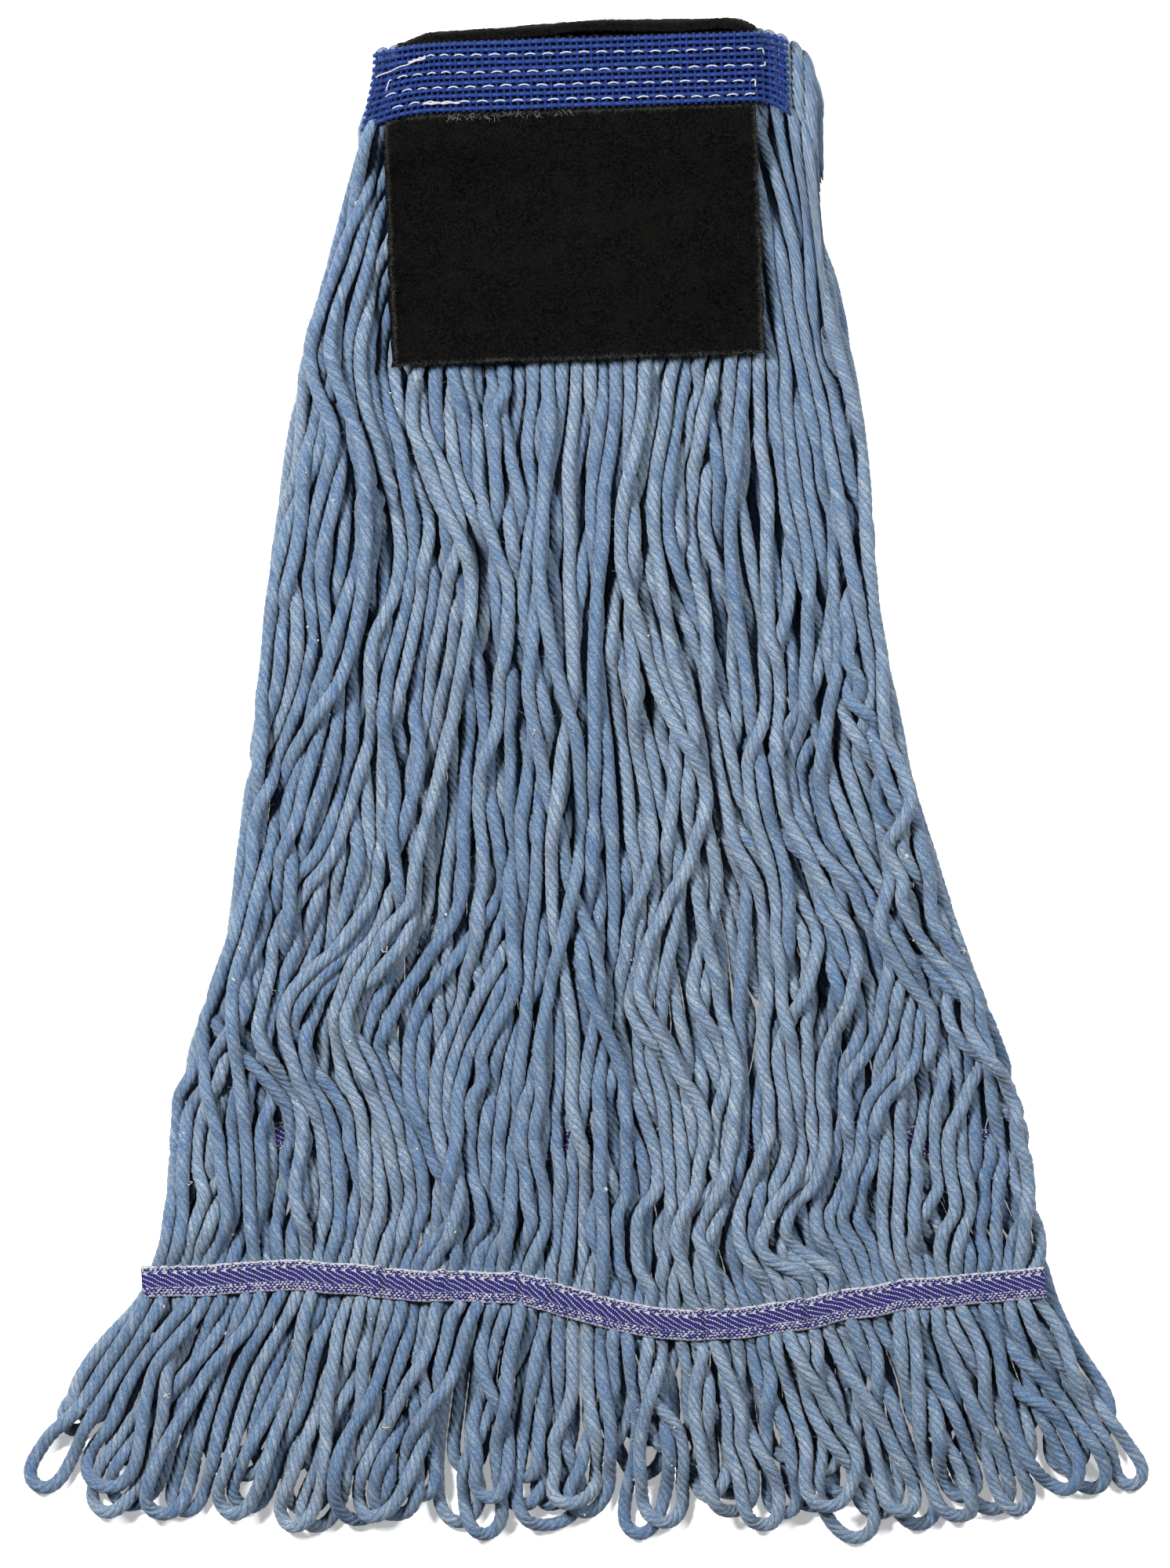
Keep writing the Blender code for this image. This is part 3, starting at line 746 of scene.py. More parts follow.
def floor_under(points):
    """The lowest height of the yarn's centreline: the floor, or the pad's back flap."""
    v = (points[:, 1] - BAND_CENTRE[1]) - (points[:, 0] - BAND_CENTRE[0]) * math.tan(TILT)
    rise = smoothstep((v + 68) / 12) * BACK_STACK[0]
    over_pad = (points[:, 1] > 150) & (points[:, 0] > -72) & (points[:, 0] < 64)
    return YARN / 2 + np.where(over_pad, rise, 0)


def pad_underside(v):
    """The front flap's lower face, which slopes from the headband's edge to its free end."""
    low = node_box("scrub_pad_front_flap")[0][2]
    return PAD_Z[0] - (PAD_Z[0] - low) * np.clip((BAND_EDGE - v) / PAD_FLAP, 0, 1)


def ceiling_over(points, in_front):
    """The greatest height of the yarn's centreline under the pad, the headband and each tail band."""
    u, v = to_band(points)
    covered = (u > PAD_U[0] - 3) & (u < PAD_U[1] + 3) & (v > BAND_EDGE - PAD_FLAP - 3)
    ceiling = np.where(covered, pad_underside(v) - YARN / 2 - 0.15, SEWN[1] + 6)
    for half, own in (("front", in_front), ("back", ~in_front)):
        beside = np.abs(points[:, 1] - tail_y_at(half, points[:, 0]))
        sewn = own & (beside < TAIL_WIDTH)
        over = np.maximum(beside - TAIL_WIDTH / 2, 0)
        ceiling = np.where(sewn, np.minimum(ceiling, tail_height(half) + over), ceiling)
    return ceiling


def settle(line, held, rank, steps):
    """Lets the strands sag, straighten and pile up until they lie still."""
    free = (~held).astype(float)
    rest = np.linalg.norm(np.diff(line, axis=1), axis=-1)
    count = line.shape[1]
    flat_free = free.ravel()
    chain = np.repeat(np.arange(len(line)), count)
    index = np.tile(np.arange(count), len(line))
    before = line.copy()
    pairs = None
    for step in range(steps):
        moved = (line - before) * DRAG
        before = line.copy()
        line += moved * free[..., None]
        line[..., 2] -= GRAVITY * free * (1 if step < steps - CALM_STEPS else 0.3)
        flat = line.reshape(-1, 3)
        if step % 5 == 0:
            a, b = near_pairs(flat, YARN + 2.2)
            apart = (chain[a] != chain[b]) | (np.abs(index[a] - index[b]) > 5)
            useful = apart & ((flat_free[a] + flat_free[b]) > 0)
            pairs = a[useful], b[useful]
        for _ in range(2):
            hold_lengths(line, free, rest)
            part_strands(flat, flat_free, pairs, rank)
        limit_bends(line, free, rest, 2)
        limit_bends(line, free, rest, 4)
        smooth_lines(line, free, 0.012)
        part_strands(flat, flat_free, pairs, rank)
        kept = np.maximum(np.minimum(flat[:, 2], ceiling_over(flat, chain >= CHAINS)), floor_under(flat))
        flat[:, 2] = np.where(flat_free > 0, kept, flat[:, 2])
        left, right = fan_edges(flat[:, 1])
        inside = np.clip(flat[:, 0], left + YARN / 2, right - YARN / 2)
        flat[:, 0] += (inside - flat[:, 0]) * 0.15 * flat_free
    return line


def yarn_lines():
    """The settled chains of the back half and of the front half."""
    rng = np.random.default_rng(SEED)
    back, back_held = start_chains("back", rng)
    front, front_held = start_chains("front", rng)
    laid = rng.random((2 * CHAINS, 3)) + (np.arange(2 * CHAINS) >= CHAINS)[:, None]
    rank = np.repeat(laid, (NODES_A_STRAND, NODES_A_LOOP, NODES_A_STRAND), axis=1).ravel()
    held = np.concatenate([back_held, front_held])
    both = settle(np.concatenate([back, front]), held, rank, SETTLE_STEPS)
    loops = np.zeros(held.shape)
    loops[:, NODES_A_STRAND + 8 : -NODES_A_STRAND - 8] = 1
    for _ in range(LOOP_SMOOTHING):
        smooth_lines(both, loops * ~held, 0.5)
    return both[:CHAINS], both[CHAINS:]


# ---- yarn meshes


YARN_SIDES = 20
RINGS_A_CHAIN = 800
TWIST_PITCH = 17.0
PLIES = 5
GROUPS = 9  # pieces that a half's yarn is split into
FOLD_DEPTHS = (2.4, 5.9)  # of the outer and inner layers of yarn, below the fold's outside


def ply_outline(angle):
    """Plies pressed together: round crowns with narrow grooves between them."""
    return 0.85 + 0.15 * np.abs(np.sin(angle * PLIES / 2)) ** 0.6


def add_yarn(half, lines, look):
    rng = np.random.default_rng(SEED + 1 if half == "front" else SEED + 2)
    each = CHAINS // GROUPS
    row = np.arange(RINGS_A_CHAIN)[None] * 0.06
    for g in range(GROUPS):
        chosen = lines[g * each : (g + 1) * each]
        paths = np.array([resample(line, RINGS_A_CHAIN) for line in chosen])
        number = g * 9.7 + np.arange(each)[:, None]
        thick = 1 + 0.06 * lattice_noise(row, number, 5)
        obj = tubes(f"{half}_yarn_{g + 1}", paths, YARN / 2 * thick, YARN_SIDES, (0, 0, 1), look,
                    2 * math.pi / TWIST_PITCH, ply_outline, rng.random(each))
        locks = range(g * LOCKS // GROUPS, (g + 1) * LOCKS // GROUPS)
        nodes = (f"{half}_yarn_lock_{n + 1:02d}" for n in locks)
        stand_for(obj, "yarn", *nodes, body=f"{half}_half")


def add_fold_yarn(look):
    """The strands where they turn over, from the sewn layer down to the back layer."""
    rng = np.random.default_rng(SEED + 3)
    us, front_z = band_places("front")
    back_z = band_places("back")[1].reshape(-1, 2)[:, ::-1].ravel()
    outer = front_z > front_z.mean()
    depth = np.where(outer, *FOLD_DEPTHS)
    reach = PAD_REACH - depth - YARN / 2
    bend_v = FOLD_END_V + 1.5
    angle = np.linspace(math.pi / 2, -math.pi / 2, 34)[None]
    v = bend_v + (reach[:, None] - bend_v) * np.abs(np.cos(angle)) ** 0.8
    z = (front_z + back_z)[:, None] / 2 + (front_z - back_z)[:, None] / 2 * np.sin(angle)
    ends_v = np.tile(np.linspace(FOLD_END_V - 1.2, bend_v - 0.8, 4), (STRANDS, 1))
    v = np.concatenate([ends_v, v, ends_v[:, ::-1]], axis=1)
    z = np.concatenate([front_z[:, None] + 0 * ends_v, z, back_z[:, None] + 0 * ends_v], axis=1)
    sway = 0.5 * np.sin(np.linspace(0, math.pi, v.shape[1]))[None] * rng.uniform(-1, 1, (STRANDS, 1))
    paths = np.array([resample(line, 26) for line in on_band(us[:, None] + sway, v, z)])
    along = (math.cos(TILT), math.sin(TILT), 0)
    obj = tubes("fold_yarn", paths, YARN / 2, YARN_SIDES, along, look, 2 * math.pi / TWIST_PITCH,
                ply_outline, rng.random(STRANDS))
    cross_fold(obj)
    stand_for(obj, "yarn", *(f"fold_yarn_bend_{n}" for n in (1, 2, 3, 4)))


def cross_fold(obj):
    """Bakes the transform of a piece that turns over the fold between the halves into its mesh."""
    x, y = on_band(0, PAD_REACH, 0)[:2]
    half_span = 6.0
    start = (x * MM, y * MM, (FOLD_Z + half_span) * MM)
    end = (x * MM, y * MM, (FOLD_Z - half_span) * MM)
    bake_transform(obj)


# ---- headband


WEAVE_PITCH = 2.33
WARP_PITCH = 2.2
BAND_ENDS = (-75.0, 72.5)
CROWN = 0.30  # how far a thread rises over the one it crosses
WARP_RADIUS = 0.74
WEFT_RADIUS = 0.50
RIPPLES = ((0.22, 5.0, 9.0), (0.10, 2.0, 5.0))  # height, then length along and across the band


def crossings(at, first, pitch, threads):
    """How far each thread of a set rises over and dips under the ones it crosses, turn about."""
    return CROWN * np.cos(math.pi * (at - first) / pitch)[None] * ((-1.0) ** np.arange(threads))[:, None]


def woven_band(name, width, offset_v, z, look):
    """An open plain weave: flat warp ends along u, thinner weft across, looped at the edges."""
    warps = round(width / WEAVE_PITCH)
    start, end = BAND_ENDS
    wefts = int((end - start) / WEAVE_PITCH)
    vs = offset_v + (np.arange(warps) - (warps - 1) / 2) * WARP_PITCH
    us = start + (np.arange(wefts) + 0.5) * WEAVE_PITCH
    sink = pad_step if z > SEWN[1] else np.zeros_like
    along = np.linspace(start, end, wefts * 5)
    sway = 0.12 * lattice_noise(along[None] / 7, np.arange(warps)[:, None] * 0.7, 8)
    warp_z = z + crossings(along, us[0], WEAVE_PITCH, warps) + band_ripple(along[None], vs[:, None])
    warp = on_band(along[None], vs[:, None] + sway, warp_z - sink(along)[None])
    across = np.linspace(vs[0] - 1.1, vs[-1] + 1.1, warps * 5)
    jitter = np.random.default_rng(SEED + 4).uniform(-0.15, 0.15, (wefts, 1))
    weft_z = z - crossings(across, vs[0], WARP_PITCH, wefts) + band_ripple(us[:, None], across[None])
    weft = on_band(us[:, None] + jitter, across[None], weft_z - sink(us)[:, None])
    sets = ((warp, WARP_RADIUS), (weft, WEFT_RADIUS))
    parts = [tube_arrays(paths, radius, 8, (0, 0, 1), 0.0, flat_end) for paths, radius in sets]
    tone = np.repeat((0.2, 0.95), [len(points) for points, _, _ in parts])
    points, faces, uvs = merge_tubes(parts)
    return build_mesh(name, points, faces, uvs, look, tone)


def flat_end(angle):
    """A flattened thread: wide across the tape and thin through it."""
    return 1.0 - 0.38 * np.cos(angle) ** 2


def band_ripple(u, v):
    """The tape rises and falls a little over the strands that are sewn under it."""
    return layered_noise(u, v, RIPPLES, 12)


def pad_step(u):
    """How far the outer tape steps down off the pad's sides onto the yarn."""
    off_pad = smoothstep((PAD_U[0] + 1 - u) / 6) + smoothstep((u - PAD_U[1] + 1) / 6)
    return 2.8 * off_pad


SEAM_ROWS = (6.6, 0.7, -4.2, -9.2)
SEAM_START = -54.0
SEAM_LEFT, SEAM_RIGHT = -68.5, 64.0
SEAM_SLOPE = 0.012
STITCH = 6.1
STITCH_SHOWN = 0.64  # share of a stitch that lies on top of the tape
SEAM_THREAD = 0.25
SEAM_THREAD_END = 0.18
BACKTACK_THREAD = 0.21


def seam_line():
    """The serpentine line of the lockstitch, as u, v points half a millimetre apart."""
    first, second, third, last = SEAM_ROWS
    corners = np.array([
        (SEAM_START, first), (SEAM_RIGHT, first), (SEAM_RIGHT + 0.6, second), (SEAM_LEFT, second),
        (SEAM_LEFT - 0.5, third), (SEAM_RIGHT - 3, third), (SEAM_RIGHT - 3.4, last), (SEAM_LEFT - 2, last),
    ])
    wanted = np.arange(0, distance_along(corners)[-1], 0.5)
    line = points_at(corners, wanted)
    kernel = np.ones(3) / 3
    soft = np.stack([np.convolve(line[:, i], kernel, "same") for i in (0, 1)], axis=1)
    line[2:-2] = soft[2:-2]
    line[:, 1] += 0.25 * lattice_noise(wanted / 9, 0, 21) - SEAM_SLOPE * line[:, 0]
    return line


def stitch_paths(line, place, pitch, shown, rise, step=0.5, bow=0.45):
    """Each stitch as a low arch on the tape: up out of one hole, along, and down into the next."""
    starts = np.arange(0, len(line) - shown / step - 1, pitch / step)
    arch = np.linspace(0, 1, 9)
    height = rise * np.sin(math.pi * arch) ** 0.45 - 0.35
    paths = []
    for begin in starts:
        at = begin + arch * shown / step
        x, y = (np.interp(at, np.arange(len(line)), line[:, i]) for i in (0, 1))
        paths.append(place(x, y + bow * np.sin(math.pi * arch), height))
    return np.array(paths)


def add_seam(name, z, sign, replaced, look):
    paths = stitch_paths(seam_line(), on_band, STITCH, STITCH * STITCH_SHOWN, 0.5)
    u, v = to_band(paths)
    paths[..., 2] = z + sign * paths[..., 2] + band_ripple(u, v) - pad_step(u) * (sign > 0)
    radii = np.full(paths.shape[:2], SEAM_THREAD)
    radii[:, 0] = radii[:, -1] = SEAM_THREAD_END
    obj = tubes(name, paths, radii, 8, (0, 0, 1), look)
    stand_for(obj, "thread", replaced, body="front_half")


def add_backtack(name, start, end, runs, look):
    """Runs of thread sewn over each other to lock the seam, with the thread's tail at one end."""
    t = np.linspace(0, 1, 30)
    paths = []
    for k in range(runs):
        first = 0.6 if k > 0 and name.endswith("start") else 0.0
        along = first + (1 - first) * t
        u = start[0] + (end[0] - start[0]) * along
        v = start[1] + (end[1] - start[1]) * along + 0.32 * (k - 1) + 0.15 * np.sin(6 * math.pi * t + k)
        z = TAPE_Z[1] + 0.1 + 0.25 * np.abs(np.sin(2.5 * math.pi * t + k)) - pad_step(u)
        paths.append(on_band(u, v, z))
    obj = tubes(name.replace("headband_", "sewn_"), np.array(paths), BACKTACK_THREAD, 8, (0, 0, 1), look)
    stand_for(obj, "thread", name, body="front_half")


def add_headband(filament, thread):
    inner_v = (INNER_WIDTH - BAND_WIDTH) / 2
    for side, width, offset_v, heights in (
        ("outer", BAND_WIDTH, 0.0, TAPE_Z),
        ("inner", INNER_WIDTH, inner_v, INNER_Z),
    ):
        obj = woven_band(f"headband_mesh_{side}", width, offset_v, sum(heights) / 2, filament)
        stand_for(obj, "headband_tape", f"headband_{side}_tape", body="front_half")
        width * MM
    add_seam("headband_stitches", TAPE_Z[1] + 0.15, 1, "headband_seam_thread", thread)
    add_seam("headband_under_stitches", INNER_Z[0] - 0.15, -1, "headband_bobbin_thread", thread)
    add_backtack("headband_backtack_start", (-73.5, 4.2), (-54.5, 7.2), 3, thread)
    add_backtack("headband_backtack_end", (-53.5, -8.6), (-40.0, -8.7), 2, thread)


# ---- sheets on the yarn


FEEL = 2.0  # mm between the places at which a sheet feels the yarn under it


def spread_high(grid):
    """Each cell takes the highest of its neighbours, as a stiff sheet feels the yarn under it."""
    wide = np.pad(grid, 1, mode="edge")
    shifts = [wide[i : i + grid.shape[0], j : j + grid.shape[1]] for i in range(3) for j in range(3)]
    return np.max(shifts, axis=0)


def top_of_yarn(lines, x, y):
    """Height of the yarn's upper side under a grid of places, as a sheet laid on it would feel it."""
    points = lines.reshape(-1, 3)
    low = np.array([x.min(), y.min()]) - 16
    size = (np.array([x.max(), y.max()]) + 16 - low) / FEEL
    grid = np.full((int(size[0]) + 1, int(size[1]) + 1), -50.0)
    at = ((points[:, :2] - low) / FEEL).astype(int)
    ok = (at >= 0).all(axis=1) & (at < grid.shape).all(axis=1)
    np.maximum.at(grid, (at[ok, 0], at[ok, 1]), points[ok, 2] + YARN / 2)
    for _ in range(5):
        grid = spread_high(grid)
    for _ in range(9):
        wide = np.pad(grid, 1, mode="edge")
        grid = (wide[:-2, 1:-1] + wide[2:, 1:-1] + wide[1:-1, :-2] + wide[1:-1, 2:] + 2 * grid) / 6
    return between_cells(grid, (x - low[0]) / FEEL, (y - low[1]) / FEEL, np.positive)


def slab(name, middle, normal, thickness, uv, look):
    """A closed sheet about a grid of points, with its two faces and its rim."""
    rows, columns = middle.shape[:2]
    offset = normal * np.broadcast_to(thickness / 2, (rows, columns))[..., None]
    points = np.concatenate([(middle + offset).reshape(-1, 3), (middle - offset).reshape(-1, 3)])
    index = np.arange(rows * columns).reshape(rows, columns)
    a, b, c, d = index[:-1, :-1], index[1:, :-1], index[1:, 1:], index[:-1, 1:]
    top = np.stack([a, b, c, d], axis=-1).reshape(-1, 4)
    under = top[:, ::-1] + rows * columns
    rim = np.concatenate([index[0, :-1], index[:-1, -1], index[-1, :0:-1], index[:0:-1, 0]])
    after = np.roll(rim, -1)
    side = np.stack([rim, after, after + rows * columns, rim + rows * columns], axis=-1)
    facing = np.cross(middle[1, 0] - middle[0, 0], middle[0, 1] - middle[0, 0]) @ normal[0, 0]
    faces = np.concatenate([top, under, side])
    if facing < 0:
        faces = faces[:, ::-1]
    flat_uv = np.concatenate([uv.reshape(-1, 2)] * 2)
    return build_mesh(name, points, [faces], [flat_uv[faces.ravel()]], look)


def grid_cross(points):
    return unit(np.cross(np.gradient(points, axis=0), np.gradient(points, axis=1)))


def grid_normal(points):
    """The normals of a lying sheet's grid, all on its upper side."""
    normal = grid_cross(points)
    return normal * np.sign(normal[..., 2:].mean() or 1)


# ---- scrub pad


PAD_STEP = 0.9
FOLD_PAD_STEP = 1.0
BACK_PAD_STEP = 1.2
PAD_FRONT_END = BAND_EDGE - PAD_FLAP
FRONT_THICKNESS = 2.4
FOLD_THICKNESS = 2.3
BACK_PAD_LENGTH = 64.0
BACK_PAD_Z = 1.4
PAD_LUMPS = ((0.22, 6, 6), (0.16, 1.9, 1.9), (0.12, 0.9, 0.9))
PAD_FIBRE = 0.055
FRONT_FIBRES = 6500
RIM_FIBRES = 1300
FOLD_FIBRES = 2600
EDGE_LINT = 46


def pad_fibres(name, surface, normal, count, look, seed, at_edges=(0.16, 0.10)):
    """Loose curved fibres on a pad's upper face, some of them standing out past its edges."""
    rng = np.random.default_rng(seed)
    rows, columns = surface.shape[:2]
    i = rng.uniform(0, rows - 1.001, count)
    j = rng.uniform(0, columns - 1.001, count)
    place = rng.random(count)
    side, end = place < at_edges[0], place > 1 - at_edges[1]
    i[side] = np.where(rng.random(side.sum()) < 0.5, 0.4, rows - 1.4)
    j[end] = np.where(rng.random(end.sum()) < 0.5, 0.4, columns - 1.4)
    ii, jj = i.astype(int), j.astype(int)
    base = surface[ii, jj] + (surface[ii + 1, jj] - surface[ii, jj]) * (i - ii)[:, None]
    base = base + (surface[ii, jj + 1] - surface[ii, jj]) * (j - jj)[:, None]
    up = normal[ii, jj]
    along = unit(surface[np.minimum(ii + 1, rows - 1), jj] - surface[np.maximum(ii - 1, 0), jj])
    across = np.cross(up, along)
    heading, bend = rng.uniform(0, 2 * math.pi, count), rng.normal(0, 0.5, count)
    length = rng.uniform(1.0, 3.2, count)
    t = np.linspace(-0.5, 0.5, 5)
    turn = heading[:, None] + bend[:, None] * t
    flat = length[:, None] * t
    lift = 0.12 + 0.25 * rng.random((count, 1)) * np.cos(t * math.pi)[None]
    paths = base[:, None] + along[:, None] * (flat * np.cos(turn))[..., None]
    paths = paths + across[:, None] * (flat * np.sin(turn))[..., None] + up[:, None] * lift[..., None]
    obj = tubes(name, paths, PAD_FIBRE, 3, (0.3, 0.2, 0.93), look)
    return obj


def pad_piece(name, middle, normal, thickness, ab, seed, look, *nodes):
    """One part of the pad, with the lumpy surface of its non-woven web; ab holds mm along and across."""
    relief = layered_noise(ab[..., 0], ab[..., 1], PAD_LUMPS, seed)
    pad = slab(name, middle, normal, thickness + relief, ab, look)
    stand_for(pad, "scrub_pad", *nodes)
    return pad


def front_pad_surface(yarn):
    """The pad from under the headband down over the front yarn to its free edge."""
    us = np.arange(PAD_U[0], PAD_U[1] + 0.1, PAD_STEP)
    vs = np.arange(12.4, PAD_FRONT_END - 0.1, -PAD_STEP)
    u, v = np.meshgrid(us, vs, indexing="ij")
    trim = 0.5 * lattice_noise(u / 3, v / 3, 31)
    at_side, at_end = (u == us[0]) | (u == us[-1]), v == vs[-1]
    flat = on_band(u + trim * at_side, v + trim * at_end, 0)
    sewn = (PAD_Z[0] + PAD_Z[1]) / 2
    half = (PAD_Z[1] - PAD_Z[0]) / 2
    lying = top_of_yarn(yarn, flat[..., 0], flat[..., 1]) + half
    let_go = smoothstep((BAND_EDGE + 1 - v) / 16)
    flat[..., 2] = sewn * (1 - let_go) + lying * let_go
    flat[..., 2] += (0.3 + 0.3 * lattice_noise(u / 23, v / 30, 32)) * let_go
    return np.stack([u, v], axis=-1), flat


def add_front_pad(yarn, look, fibre, rim, lint):
    uv, middle = front_pad_surface(yarn)
    normal = grid_normal(middle)
    nodes = "scrub_pad_core", "scrub_pad_front_flap"
    lift_flap(pad_piece("scrub_pad_front", middle, normal, FRONT_THICKNESS, uv, 40, look, *nodes))
    shown = uv[0, :, 1] < BAND_EDGE
    facing = normal[:, shown]
    face = middle[:, shown] + facing * (FRONT_THICKNESS / 2)
    lift_flap(pad_fibres("scrub_pad_front_fibres", face, facing, FRONT_FIBRES, fibre, SEED + 9))
    # The paler fibres all along the pad's edges are a painted highlight.
    lift_flap(pad_fibres("scrub_pad_front_rim_highlight", face, facing, RIM_FIBRES, rim, SEED + 12, (0.5, 0.5)))
    edge = slice(24, 72), slice(0, 3)
    lift_flap(pad_fibres("headband_edge_lint", face[edge], facing[edge], EDGE_LINT, lint, SEED + 13))


def lift_flap(obj):
    """Bakes the transform of a front pad piece into its mesh; the line at the headband's lower edge where
    its flap lifts is worked out but not used.
    """
    start = on_band(0, BAND_EDGE + 0.5, PAD_Z[1]) * MM
    end = on_band(0, BAND_EDGE - 7.0, PAD_Z[1]) * MM
    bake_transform(obj)


def fold_pad_line():
    """The pad's middle line over the fold, in v and z, from the headband's edge to the back flap."""
    high, low = sum(PAD_Z) / 2, node_box("scrub_pad_back_flap")[1][2] / 2 + 0.15
    reach = PAD_REACH - 1.25
    angle = np.linspace(math.pi / 2, -math.pi / 2, 40)
    start = BAND_WIDTH / 2 - 0.6
    v = start + (reach - start) * np.abs(np.cos(angle)) ** 0.5
    z = (high + low) / 2 + (high - low) / 2 * np.sin(angle) * (0.93 + 0.07 * np.abs(np.sin(angle)))
    tail = np.linspace(start - 0.8, FOLD_END_V - 0.5, 9)
    return np.column_stack([np.concatenate([v, tail]), np.concatenate([z, np.full(9, low)])])


def add_fold_pad(look, fibre):
    line = fold_pad_line()
    us = np.arange(PAD_U[0], PAD_U[1] + 0.1, FOLD_PAD_STEP)
    at = np.linspace(0, distance_along(line)[-1], 58)
    v, z = points_at(line, at).T
    u, along = np.meshgrid(us, at, indexing="ij")
    wave = 0.7 * lattice_noise(u / 12, along / 20, 51) + 1.4 * smoothstep((u + 60) / 60)
    wave = wave - 2.4 * smoothstep((-52 - u) / 15) - 3.6 * np.clip((u - 50) / 11, 0, 1) ** 2.5
    middle = on_band(u, v[None] + wave, z[None])
    normal = grid_cross(middle)
    outward = on_band(0, 1, 0) - on_band(0, 0, 0)
    normal = normal * np.sign((normal[:, 20:30] @ outward).mean())
    name, uv = "scrub_pad_over_fold", np.stack([u, along], axis=-1)
    cross_fold(pad_piece(name, middle, normal, FOLD_THICKNESS, uv, 60, look, "scrub_pad_fold"))
    face = middle + normal * (FOLD_THICKNESS / 2)
    cross_fold(pad_fibres("scrub_pad_fold_fibres", face, normal, FOLD_FIBRES, fibre, SEED + 10))


def add_back_pad(look):
    us = np.arange(PAD_U[0], PAD_U[1] + 0.1, BACK_PAD_STEP)
    vs = np.arange(FOLD_END_V - 0.3, FOLD_END_V - BACK_PAD_LENGTH, -BACK_PAD_STEP)
    u, v = np.meshgrid(us, vs, indexing="ij")
    middle = on_band(u, v, BACK_PAD_Z)
    name, uv = "scrub_pad_back", np.stack([u, v], axis=-1)
    pad = pad_piece(name, middle, grid_normal(middle), FOLD_THICKNESS, uv, 70, look, "scrub_pad_back_flap")
    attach(pad, "back_half")


# ---- tail bands


TAPE_STEP = 0.5
TAPE_THICKNESS = 0.6
SCALLOP = 0.14  # how far the weft's turns stand out at the tape's edges
SCALLOP_PITCH = 1.7
TAIL_STITCH_STEP = 0.25
TAIL_STITCH = (3.2, 2.3)  # its pitch, and how much of it shows
TAIL_THREAD = 0.22


def smooth_tail(half, step):
    """The distance along a tape and its middle line, at equal steps, with its small wavers."""
    count = 400
    line = resample(TAIL[half], count)
    from_end = np.minimum(np.arange(count), count - 1 - np.arange(count))
    line[:, 1] += 0.7 * lattice_noise(line[:, 0] / 11, 3, 81) * smoothstep(from_end / 30)
    wanted = np.arange(0, distance_along(line)[-1], step)
    return wanted, points_at(line, wanted)


def towards_headband(line):
    """Unit vectors across a tail tape's line, on its upper side."""
    along = unit(np.gradient(line, axis=0))
    return unit(np.stack([-along[:, 1], along[:, 0]], axis=1))


def tail_ridges(half, x, y):
    """How far a tape stands up over the strands that it crosses."""
    first, last = tail_ends(half)
    spacing = (last - first) / (STRANDS - 1)
    return 0.28 * np.cos(2 * math.pi * (x - first) / spacing) + 0.22 * lattice_noise(x / 9, y / 9, 83)


def add_tail_tape(half, side, look):
    low, high = (b[2] for b in node_box(f"{half}_tail_tape_{side}"))
    distance, line = smooth_tail(half, TAPE_STEP)
    offsets = np.linspace(TAIL_WIDTH / 2, -TAIL_WIDTH / 2, 22)
    scallop = SCALLOP * np.sin(distance * 2 * math.pi / SCALLOP_PITCH)
    reach = np.tile(offsets, (len(distance), 1))
    reach[:, 0] += scallop
    reach[:, -1] -= scallop
    xy = line[:, None] + towards_headband(line)[:, None] * reach[..., None]
    sign = 1 if side == "upper" else -1
    edge_dip = 0.5 * (np.abs(offsets) / (TAIL_WIDTH / 2)) ** 6
    z = (low + high) / 2 + sign * (tail_ridges(half, xy[..., 0], xy[..., 1]) - edge_dip[None] + 0.15)
    if half == "front":
        for kink in TAIL_KINKS:
            past = line[:, 0] - kink
            fold = np.exp(-((past / 1.5) ** 2)) - 0.6 * np.exp(-(((past - 2.6) / 0.9) ** 2))
            z = z + sign * 0.9 * fold[:, None]
            xy[..., 1] += 0.7 * fold[:, None] * (offsets > 0)
    middle = np.concatenate([xy, np.maximum(z, 0.35)[..., None]], axis=-1)
    uv = np.stack(np.meshgrid(distance, TAIL_WIDTH / 2 - offsets, indexing="ij"), axis=-1)
    obj = slab(f"{half}_tail_band_{side}", middle, grid_normal(middle), TAPE_THICKNESS, uv, look)
    stand_for(obj, "tail_tape", f"{half}_tail_tape_{side}", body=f"{half}_half")


def add_tail_stitches(half, thread):
    line = smooth_tail(half, TAIL_STITCH_STEP)[1]
    line = line + towards_headband(line) * (TAIL_WIDTH / 2 - 0.55)
    top = node_box(f"{half}_tail_tape_upper")[1][2]

    def place(x, y, height):
        return np.stack([x, y, top + tail_ridges(half, x, y) + height], axis=-1)

    paths = stitch_paths(line, place, *TAIL_STITCH, 0.55, TAIL_STITCH_STEP, 0.1)
    obj = tubes(f"{half}_tail_stitches", paths, TAIL_THREAD, 8, (0, 0, 1), thread)
    stand_for(obj, "thread", f"{half}_tail_seam_thread", body=f"{half}_half")


# ---- lint


STRAYS = {"front": 3600, "back": 1500}
STRAYS_A_KNOT = 28
STRAY_RADIUS = 0.05
KNOT_RADIUS = 0.16


def yarn_places(lines, count, rng):
    """Places on the yarn: its centreline there, its course, and a direction out of its upper side."""
    dense = np.array([resample(line, 700) for line in lines])
    chain = rng.integers(0, len(dense), count)
    at = rng.integers(5, 690, count)
    along = unit(dense[chain, at + 3] - dense[chain, at - 3])
    side = unit(np.cross((0, 0, 1.0), along))
    angle = rng.uniform(-1.3, 1.3, count)
    out = side * np.sin(angle)[:, None] + np.array([0, 0, 1.0]) * np.cos(angle)[:, None]
    return dense[chain, at], along, out


